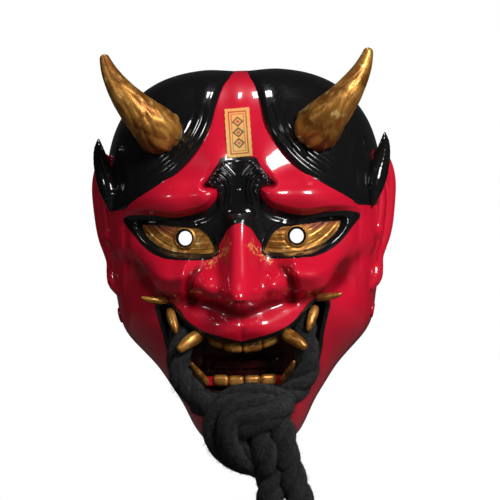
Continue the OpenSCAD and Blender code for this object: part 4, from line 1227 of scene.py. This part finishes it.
def make_horn(side, left):
    """A gold horn along a bend, with long grooves that die out towards its tip."""
    steps, sides = 150, 96
    out, forward, up = 33, 12, 48
    tip = HORN_SEAT + (out, -forward, up)
    bend, rise = HORN_SEAT + HORN_OUT * 24, tip - (0.12 * out, 0, 0.45 * up)
    t = np.linspace(0, 1, steps)[:, None]
    path = (1 - t) ** 3 * HORN_ROOT + 3 * t * (1 - t) ** 2 * bend
    path += 3 * t ** 2 * (1 - t) * rise
    path += t ** 3 * tip
    t = t[:, 0]
    body = 2.3 + 13.4 * (1 - t) ** 0.9
    body *= 1 - 0.22 * np.clip(1 - t / 0.1, 0, 1) ** 2
    end = np.clip((1 - t) / 0.03, 0, 1)
    body *= np.sqrt(1 - (1 - end) ** 2) * 0.98 + 0.02
    rng = np.random.default_rng(7)
    waves = [(n, rng.uniform(0, 6.28), rng.uniform(-5, 5), rng.uniform(0.5, 1))
             for n in (3, 5, 7, 8, 11, 13, 17)]
    grooves = np.zeros((steps, sides))
    a = np.linspace(0, 2 * np.pi, sides, endpoint=False)
    for n, phase, twist, weight in waves:
        sway = 0.35 * np.sin(t * 9 + phase)[:, None]
        grooves += weight * np.abs(np.sin(0.5 * (n * (a[None] + sway) + twist * t[:, None] + phase)))
    grooves = 1 - grooves / sum(w[3] for w in waves)
    grooves = np.clip((grooves - 0.25) / 0.35, 0, 1)
    deep = (1 - 0.9 * t)[:, None] * 0.105 * grooves

    points, faces = swept(path, body[:, None] * (1 - deep), sides)
    # Painted shade: the stain is heavier on the underside, most near the root, with less of it towards the
    # tip; the furrows take the stain itself.
    underside = np.array([0.25, 0.35, -0.9])
    facing = (points[:-2] - np.repeat(path, sides, axis=0)) @ underside
    facing /= np.maximum(np.repeat(body, sides), 0.5)
    along = np.repeat(t, sides)
    base = np.clip(1 - along / 0.4, 0, 1)
    stain = 0.6 * grooves.reshape(-1) + (0.42 + 0.4 * base) * np.clip(facing, 0, 1) - 0.45 * along ** 2
    stain = np.concatenate([np.clip(stain, 0, 0.9), [0.6, 0]])
    mesh = gilded("horn_" + side, mirrored(left, points), faces, stain)
    return piece("gold_horn_" + side, mesh, gold_leaf, "mask", ["horn_" + side], 70)


# ---------------------------------------------------------------- mouth

def make_liner():
    """The dark inside of the mouth: flange, walls, a palate and gums, the lower one red at its ends."""
    half = curve_through([
        (0, -47), (30, -38), (53, -34), (54, -48), (51, -60), (49, -72), (44, -84), (32, -94),
        (0, -98)], 90)
    edge = np.vstack([half, half[-2:0:-1] * (-1, 1)])
    middle = np.array([0, -68.0])
    rings, depth, wall = 70, 40, 2.5
    u = np.arange(1, rings + 1)[:, None, None] / rings
    grid = middle + (edge - middle) * u
    x, z = grid[..., 0], grid[..., 1]
    v = np.broadcast_to(u[..., 0], x.shape)
    flange = shell_back(x, z) - 1.2
    h = depth + (flange - depth) * soft_step(0.78, 0.92, v)
    ax = np.abs(x)

    def raised(h, half_x, low, high, top):
        """The heights with a block in the middle raised to a top."""
        inside = np.minimum(half_x - ax, np.minimum(z - low, high - z))
        return h + np.clip(top - h, 0, None) * soft_step(-0.2, 1.8, inside)

    h = raised(h, 30, -60.5, -49.5, 60)
    back = np.stack([x, wall - h, z], axis=-1)
    h = raised(h, 28, -90, -81.5, 47.4)
    h = raised(h, 20, -79.6, -72, 45.5)
    h = raised(h, 25, -82.5, -70.5, 42.2)
    front = np.stack([x, -h, z], axis=-1)
    points, faces = closed_disc(front, (0, -depth, middle[1]), back, (0, wall - depth, middle[1]))
    mesh = mesh_of("mouth_liner", points, faces)
    px, py, pz = points_of(mesh).T
    gum = soft_step(18.5, 19.5, np.abs(px)) * (1 - soft_step(28, 29, np.abs(px)))
    gum *= soft_step(-91, -90, pz) * (1 - soft_step(-82.5, -81.5, pz)) * soft_step(45.6, 46.4, -py)
    set_attribute(mesh, "gum", gum)
    return piece("mouth_inside", mesh, liner_lacquer, "mask", ["mouth_liner"], 50)


def make_teeth(name, node, row, arc, half_y, front, round_r, low, high):
    """A row of pillow-shaped teeth, each (middle x, half width, lowest, highest), bent along an arc."""
    def distance(p):
        x, y, z = np.abs(p[..., 0]), p[..., 1], p[..., 2] - arc * (p[..., 0] / 20) ** 2
        y = y - 0.012 * x ** 2
        best = None
        for middle, half, bottom, top in row:
            q = np.stack([np.abs(x - middle) - half + round_r, np.abs(y + front) - half_y + round_r,
                          np.abs(z - (bottom + top) / 2) - (top - bottom) / 2 + round_r], axis=-1)
            d = np.linalg.norm(np.maximum(q, 0), axis=-1) + np.minimum(q.max(axis=-1), 0) - round_r
            best = d if best is None else blend_min(best, d, 0.35)
        return best

    points, faces = carved(low, high, 0.5, distance)
    mesh = mesh_of(name, points, faces)
    x, _, z = points_of(mesh).T
    # Painted shade at the seams between the teeth and at their roots.
    seams = [middle - half for middle, half, _, _ in row]
    seam = np.min([np.abs(np.abs(x) - at) for at in seams], axis=0)
    rise = (z - z.min()) / np.ptp(z)
    root = soft_step(0.45, 1, rise) if node == "upper_teeth" else 1 - soft_step(0, 0.5, rise)
    set_attribute(mesh, "stain_and_shade", np.clip(np.exp(-(seam / 0.7) ** 2) + 0.6 * root, 0, 1))
    return piece(name, mesh, gold_leaf, "mask", [node], 75)


def make_fang(name, node, left, balls):
    """A curved tooth through its balls, worn smooth, with fine lengthwise ridges."""
    steps, sides = 60, 36
    dense = curve_through(balls, steps)
    path, r = dense[:, :3], dense[:, 3]
    reach = np.linspace(0, 1, steps)
    cap = np.sqrt(1 - (1 - np.clip((1 - reach) / 0.06, 0, 1)) ** 2) * 0.96 + 0.04
    start = np.sqrt(1 - (1 - np.clip(reach / 0.08, 0, 1)) ** 2) * 0.8 + 0.2
    a = np.linspace(0, 2 * np.pi, sides, endpoint=False)
    ribs = 0.04 * np.sin(7 * a + 1) + 0.025 * np.sin(11 * a)
    points, faces = swept(path, (r * cap * start)[:, None] * (1 + ribs * (1 - reach)[:, None]), sides)
    # Painted shade: darker towards the root, where the fang meets the mouth; the valleys between the ridges
    # take the stain.
    stain = np.concatenate([np.repeat(np.clip(0.75 - 1.6 * reach, 0, 1), sides), [0.8, 0]])
    stain[:-2] += 0.35 * np.clip(-np.tile(ribs, steps) / 0.05, 0, 1)
    mesh = gilded(name, mirrored(left, points), faces, np.clip(stain, 0, 1))
    return piece(name, mesh, gold_leaf, "mask", [node], 70)


def make_mouth():
    make_liner()
    upper = [(5.95, 5.95, -68, -53), (16.8, 5, -67.6, -52)]
    lower = [(4.9, 4.8, -89, -82.4), (14.6, 4.9, -89, -82)]
    make_teeth("upper_row", "upper_teeth", upper, 4.6, 3.2, 63.4, 2.2, (-24, -69, -71), (24, -54, -45))
    make_teeth("lower_row", "lower_teeth", lower, 0.4, 3, 50.6, 2.4, (-22, -56, -92), (22, -40, -79))
    fangs = {  # from root to tip: place, radius
        "upper_fang": [
            (25, -62, -56, 3.6), (28.5, -66, -58.5, 4.1), (32.5, -69, -61, 3.8), (36, -71, -63.9, 3),
            (38.2, -71.8, -65.8, 2.2)],
        "lower_fang": [
            (23, -48, -87.5, 2.2), (25, -53.5, -83.5, 2.3), (27.4, -60, -79.5, 2), (29.6, -65, -75.8, 1.4),
            (30.8, -67.6, -73, 0.8)],
        "corner_fang": [
            (44.2, -57, -41, 2), (43, -60, -44.5, 2.8), (41.6, -62.6, -48.4, 2.8),
            (40.3, -64.6, -52.4, 2.1), (39.4, -65.8, -55.8, 1)],
        "cheek_tusk": [
            (44.5, -60, -35.8, 1.9), (49, -62.5, -35.7, 2.3), (53.5, -64.5, -35.2, 2.1),
            (57.4, -65.4, -34.4, 1.4), (60.3, -65.6, -33.4, 0.6)]}
    for kind, balls in fangs.items():
        for side, left in SIDES:
            make_fang(f"gold_{kind}_{side}", f"{kind}_{side}", left, balls)


# ---------------------------------------------------------------- paper slip and fittings

def make_slip():
    """A paper slip stuck to the forehead, its edges a little ragged and its corners lifting."""
    u, v = np.meshgrid(np.linspace(-1, 1, 31), np.linspace(-1, 1, 61), indexing="ij")
    c, n = math.cos(SLIP_LEAN), math.sin(SLIP_LEAN)
    across = SLIP_W / 2 * u + 0.12 * np.sin(v * 23) * np.abs(u) ** 8
    up = SLIP_H / 2 * v + 0.1 * np.sin(u * 19) * np.abs(v) ** 8
    x = across * c - up * n
    z = SLIP_Z + up * c + across * n
    curl = 0.9 * np.clip(np.abs(u) + np.abs(v) - 1.55, 0, None) ** 1.5 + 0.12 * np.sin(u * 4 + v * 5)
    h = looked_up(SOFT_HEIGHTS, x, z) + 0.55 + curl
    top = np.stack([x, -h - 0.25, z], axis=-1)
    bottom = np.stack([x, -h + 0.05, z], axis=-1)
    mesh = mesh_of("slip", *closed_patch(top, bottom))
    x, _, z = points_of(mesh).T
    z = z - SLIP_Z
    uv = np.stack([(x * c + z * n) / SLIP_W + 0.5, (z * c - x * n) / SLIP_H + 0.5], axis=1)
    corner = np.empty(len(mesh.loops), np.int32)
    mesh.loops.foreach_get("vertex_index", corner)
    layer = mesh.uv_layers.new(name="UVMap")
    layer.data.foreach_set("uv", uv[corner].astype(np.float32).ravel())
    return piece("paper_slip", mesh, slip_paper, "mask", ["forehead_slip"], 50)


def make_eyelet(side, left):
    """A rolled eyelet through the side of the shell: a flange against each face of the wall, and a bore."""
    sides = 48
    section = [  # along the bore, out from it
        (2.3, 2.5), (2.75, 2.8), (2.85, 3.4), (2.6, 4.4), (2.0, 4.9), (0.8, 4.9), (0.8, 3.5), (-1.4, 3.5),
        (-1.4, 4.9), (-2.9, 4.9), (-3.3, 4.4), (-3.4, 3.4), (-3.2, 2.8), (-2.7, 2.5), (2.3, 2.5)]
    along, out = np.array(section).T[:, :, None, None]
    turn = np.linspace(0, 2 * np.pi, sides, endpoint=False)[None, :, None]
    axis = np.array(EYELET_AXIS)
    across, up = np.array([-axis[2], 0, axis[0]]), np.array([0, 1.0, 0])
    rings = np.array(EYELET_AT) + along * axis + out * (np.cos(turn) * across + np.sin(turn) * up)
    points, faces = mirrored(left, rings.reshape(-1, 3)), ring_faces(len(section), sides)
    mesh = mesh_of("eyelet_" + side, points, faces)
    return piece("rolled_eyelet_" + side, mesh, red_enamel, "mask", ["strap_eyelet_" + side])


def dress_screws():
    """Steel on the solids of the horns' screws."""
    for side, _ in SIDES:
        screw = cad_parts["horn_screw_" + side].data
        screw.materials.clear()
        screw.materials.append(steel)


# ---------------------------------------------------------------- rope

def rope_tree():
    """A twisted three-strand rope along each path, with loose fibres standing out of it."""
    group = bpy.data.node_groups.new("twisted_rope", "GeometryNodeTree")
    face = group.interface
    face.new_socket("Path", in_out="INPUT", socket_type="NodeSocketGeometry")
    for name in ("Radius", "Lay", "Valley", "Step", "Fluff", "Fibre Count", "Fibre Length", "Fibre Radius"):
        face.new_socket(name, in_out="INPUT", socket_type="NodeSocketFloat")
    face.new_socket("Seed", in_out="INPUT", socket_type="NodeSocketInt")
    face.new_socket("Finish", in_out="INPUT", socket_type="NodeSocketMaterial")
    face.new_socket("Rope", in_out="OUTPUT", socket_type="NodeSocketGeometry")
    t = Tree(group)
    source = group.nodes.new("NodeGroupInput")

    def given(name):
        return Wire(t, source.outputs[name])

    def stored(geometry, name, value, kind="FLOAT"):
        values = {"Geometry": geometry, "Name": name, "Value": value}
        return t.node("GeometryNodeStoreNamedAttribute", {"data_type": kind}, values)

    line = t.node("GeometryNodeMeshToCurve", None, {"Mesh": given("Path")})
    line = t.node("GeometryNodeResampleCurve", {"mode": "LENGTH"}, {"Curve": line, "Length": given("Step")})
    run = t.node("GeometryNodeSplineParameter", output="Length")
    line = t.node("GeometryNodeSetCurveTilt", None, {"Curve": line, "Tilt": run / given("Lay") * 6.28319})
    line = stored(line, "along", run)
    line = stored(line, "heading", t.node("GeometryNodeInputTangent"), "FLOAT_VECTOR")

    ring = t.node("GeometryNodeCurvePrimitiveCircle", None, {"Resolution": 54, "Radius": given("Radius")})
    turn = t.node("GeometryNodeSplineParameter")
    off = ((turn * 3).math("FRACT") - 0.5).math("ABSOLUTE") * 2
    swell = 1 - given("Valley") * off ** 2.4
    spot = t.scaled(t.node("GeometryNodeInputPosition"), swell)
    ring = t.node("GeometryNodeSetPosition", None, {"Geometry": ring, "Position": spot})
    ring = stored(ring, "around", turn)

    parts = {"Curve": line, "Profile Curve": ring, "Fill Caps": True}
    rope = t.node("GeometryNodeCurveToMesh", None, parts)
    lump = t.node("ShaderNodeTexNoise", None, {"Scale": 260.0, "Detail": 3.0}) - 0.5
    push = t.scaled(t.node("GeometryNodeInputNormal"), lump * given("Fluff"))
    rope = t.node("GeometryNodeSetPosition", None, {"Geometry": rope, "Offset": push})

    spots = t.node("GeometryNodeDistributePointsOnFaces", None,
                   {"Mesh": rope, "Density": given("Fibre Count"), "Seed": given("Seed")})
    out = spots.beside("Normal")
    heading = t.node("GeometryNodeInputNamedAttribute", {"data_type": "FLOAT_VECTOR"}, {"Name": "heading"})
    stray = t.node("FunctionNodeRandomValue", {"data_type": "FLOAT_VECTOR"},
                   {"Min": (-1, -1, -1), "Max": (1, 1, 1), "Seed": given("Seed")})
    way = t.plus(t.plus(heading, stray), t.scaled(out, 0.55))
    lie = t.node("FunctionNodeAlignRotationToVector", {"axis": "Z"}, {"Vector": way})
    size = t.node("FunctionNodeRandomValue", None, {2: 0.45, 3: 1.25, "Seed": given("Seed")}, 1)
    long = given("Fibre Length")
    bent = t.node("GeometryNodeCurveQuadraticBezier", None, {
        "Resolution": 3,
        "Start": (0, 0, 0),
        "Middle": t.node("ShaderNodeCombineXYZ", None, {"X": long * 0.22, "Z": long * 0.5}),
        "End": t.node("ShaderNodeCombineXYZ", None, {"X": long * -0.05, "Z": long})})
    thin = {"Resolution": 3, "Radius": given("Fibre Radius")}
    thin = t.node("GeometryNodeCurvePrimitiveCircle", None, thin)
    fibre = t.node("GeometryNodeCurveToMesh", None, {"Curve": bent, "Profile Curve": thin})
    fuzz = t.node("GeometryNodeInstanceOnPoints", None,
                  {"Points": spots, "Instance": fibre, "Rotation": lie, "Scale": size})
    both_parts = t.node("GeometryNodeJoinGeometry")
    group.links.new(fuzz.socket, both_parts.socket.node.inputs[0])
    group.links.new(rope.socket, both_parts.socket.node.inputs[0])
    whole = t.node("GeometryNodeRealizeInstances", None, {"Geometry": both_parts})
    whole = t.node("GeometryNodeSetMaterial", None, {"Geometry": whole, "Material": given("Finish")})
    sink = group.nodes.new("NodeGroupOutput")
    group.links.new(whole.socket, sink.inputs["Rope"])
    return group


ROPE = rope_tree()


def rope_mesh(name, routes, seed, **sizes):
    """The rope's mesh along routes in mm."""
    points, edges = [], []
    for route in routes:
        start = len(points)
        points += (np.asarray(route) * MM).tolist()
        edges += [(start + k, start + k + 1) for k in range(len(route) - 1)]
    mesh = bpy.data.meshes.new(name)
    mesh.from_pydata(points, edges, [])
    made = added(name, mesh)
    step = made.modifiers.new("rope", "NODES")
    step.node_group = ROPE
    values = {"Radius": 7.5 * MM, "Lay": 42 * MM, "Valley": 0.26, "Step": 1.3 * MM, "Fluff": 0.9 * MM,
              "Fibre Count": 6.0e5, "Fibre Length": 2.4 * MM, "Fibre Radius": 0.05 * MM,
              "Seed": seed, "Finish": cotton}
    values.update(sizes)
    for item in ROPE.interface.items_tree:
        if item.in_out == "INPUT" and item.name in values:
            step[item.identifier] = values[item.name]
    made.update_tag()
    seen = made.evaluated_get(bpy.context.evaluated_depsgraph_get())
    result = bpy.data.meshes.new_from_object(seen)
    bpy.data.objects.remove(made)
    result.name = name
    return result


# Right half of the rope behind the mouth, and its leg from there to the knot
BIT_HALF = np.array([(0, -26, -54), (14, -26, -54), (25, -28.5, -53), (31.5, -36, -52), (35, -45, -51.5),
                     (36.5, -51, -52), (37, -54.7, -54.7), (37.4, -56.9, -59.2)])
LEG = np.array([(38, -60, -66), (38.8, -61, -73), (37.8, -62, -80.2), (34, -64, -87.4), (27.5, -68, -93.5),
                (18, -75, -100)])
# Each tail's joint, and how far its end leans to the side
TAILS = {"left": ((15.5, -86, -138), 0.5), "right": ((31, -86, -134), 4.0)}
TAIL_HEADS = {  # from inside the knot past the joint
    "left": [(6, -86, -106), (10, -93, -114), (12.6, -93, -123), (14.4, -90, -131), (15.5, -86, -139)],
    "right": [(20, -82, -101), (22, -90, -110), (23.6, -91, -119), (25, -89, -128), (27.4, -86, -137)]}
TAIL_L, WHIP_L = 44, 10


def rope_piece(name, mesh, nodes):
    """A finished length of rope, in place of the solids that it stands for."""
    made = added(name, mesh)
    mesh.shade_smooth()
    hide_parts(*nodes)
    return made


def make_rope():
    """The run behind the mouth, the knot under the chin, the legs between them and the two tails."""
    behind = curve_through(np.vstack([BIT_HALF[3:0:-1] * (-1, 1, 1), BIT_HALF[:4]]), 60)
    bit = rope_piece("rope_bit_run", rope_mesh("rope_bit", [behind], 3), ["rope_bit"])
    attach(bit, "mask")

    passes = [
        [(25, -72, -97), (15, -83, -93.5), (3, -88, -92.5), (-8, -88, -96), (-14.5, -87, -103.5),
         (-16.2, -86, -112), (-12.5, -86, -121), (-5, -86, -128), (3, -85, -132), (9, -82, -134)],
        [(21, -78, -100), (12, -91, -98), (3, -95, -99), (-4, -96, -104), (-7, -96, -111),
         (-5.5, -95, -119), (0, -92, -126), (6, -88, -130)],
        [(23, -82, -98.5), (22, -91, -100.5), (16, -98, -103), (8, -99.5, -106), (1.5, -96, -109.5),
         (-3, -88, -113)],
        [(-26, -69, -96.5), (-19, -80, -98), (-12, -84, -104), (-4, -84, -110), (6, -82, -112),
         (16, -80, -108)]]
    routes = [curve_through(p, 80) for p in passes]
    mesh = rope_mesh("chin_knot", routes, 5, Radius=8.0 * MM, Lay=130 * MM)
    knot = rope_piece("chin_knot", mesh, ["rope_knot"])
    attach(knot, "knot")

    for side, left in SIDES:
        route = mirrored(left, curve_through(np.vstack([BIT_HALF[2:], LEG]), 40))
        name = "jaw_rope_" + side
        leg = rope_piece(name, rope_mesh(name, [route], 11 + left), ["rope_leg_" + side])
        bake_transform(leg)
        mirrored(left, BIT_HALF[4]) * MM
        (route * MM).tolist()

    tail_sizes = {"Radius": 8.7 * MM, "Fibre Length": 1.6 * MM}
    for side, (joint, lean) in TAILS.items():
        joint = np.array(joint, float)
        end = joint + (lean, 0, -TAIL_L)
        head = TAIL_HEADS[side]
        foot = end + (lean * 0.2, 0, -WHIP_L - 1)
        route = curve_through(head + [tuple((joint + end) / 2), tuple(end), tuple(foot)], 44)
        name = "hanging_rope_" + side
        mesh = rope_mesh(name, [route], 21 + len(side), **tail_sizes)
        tail = rope_piece(name, mesh, ["rope_tail_" + side])
        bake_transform(tail)
        whip = make_whipping(side, end, lean)
        (route * MM).tolist()


def make_whipping(side, end, lean):
    """Twine wound tightly around the end of a tail."""
    turns, sides, around, thick = 9, 10, 7.4, 0.62
    k = np.linspace(0, turns, turns * 36 + 1)
    spin = 2 * np.pi * k
    axis = np.array([lean, 0, -TAIL_L]) / np.hypot(lean, TAIL_L)
    across = np.array([-axis[2], 0, axis[0]])
    helix = end + np.outer(k / turns * (WHIP_L - 1) + 0.5, axis)
    helix += around * (np.cos(spin)[:, None] * across + np.sin(spin)[:, None] * np.array([0, 1, 0]))
    mesh = mesh_of("tail_whipping_" + side, *swept(helix, thick, sides))
    nodes = ["tail_whipping_" + side]
    return piece("twine_whipping_" + side, mesh, twine, "tail_" + side, nodes, 70)


# ---------------------------------------------------------------- assembly

make_face()
for side, left in SIDES:
    make_hair(side, left)
    make_lock(side, left)
    make_ear(side, left)
    make_plate(side, left)
    make_lid(side, left)
    make_horn(side, left)
make_crest()
make_mouth()
make_slip()
for side, left in SIDES:
    make_eyelet(side, left)
dress_screws()
make_rope()

bpy.context.scene.view_settings.view_transform = "Standard"
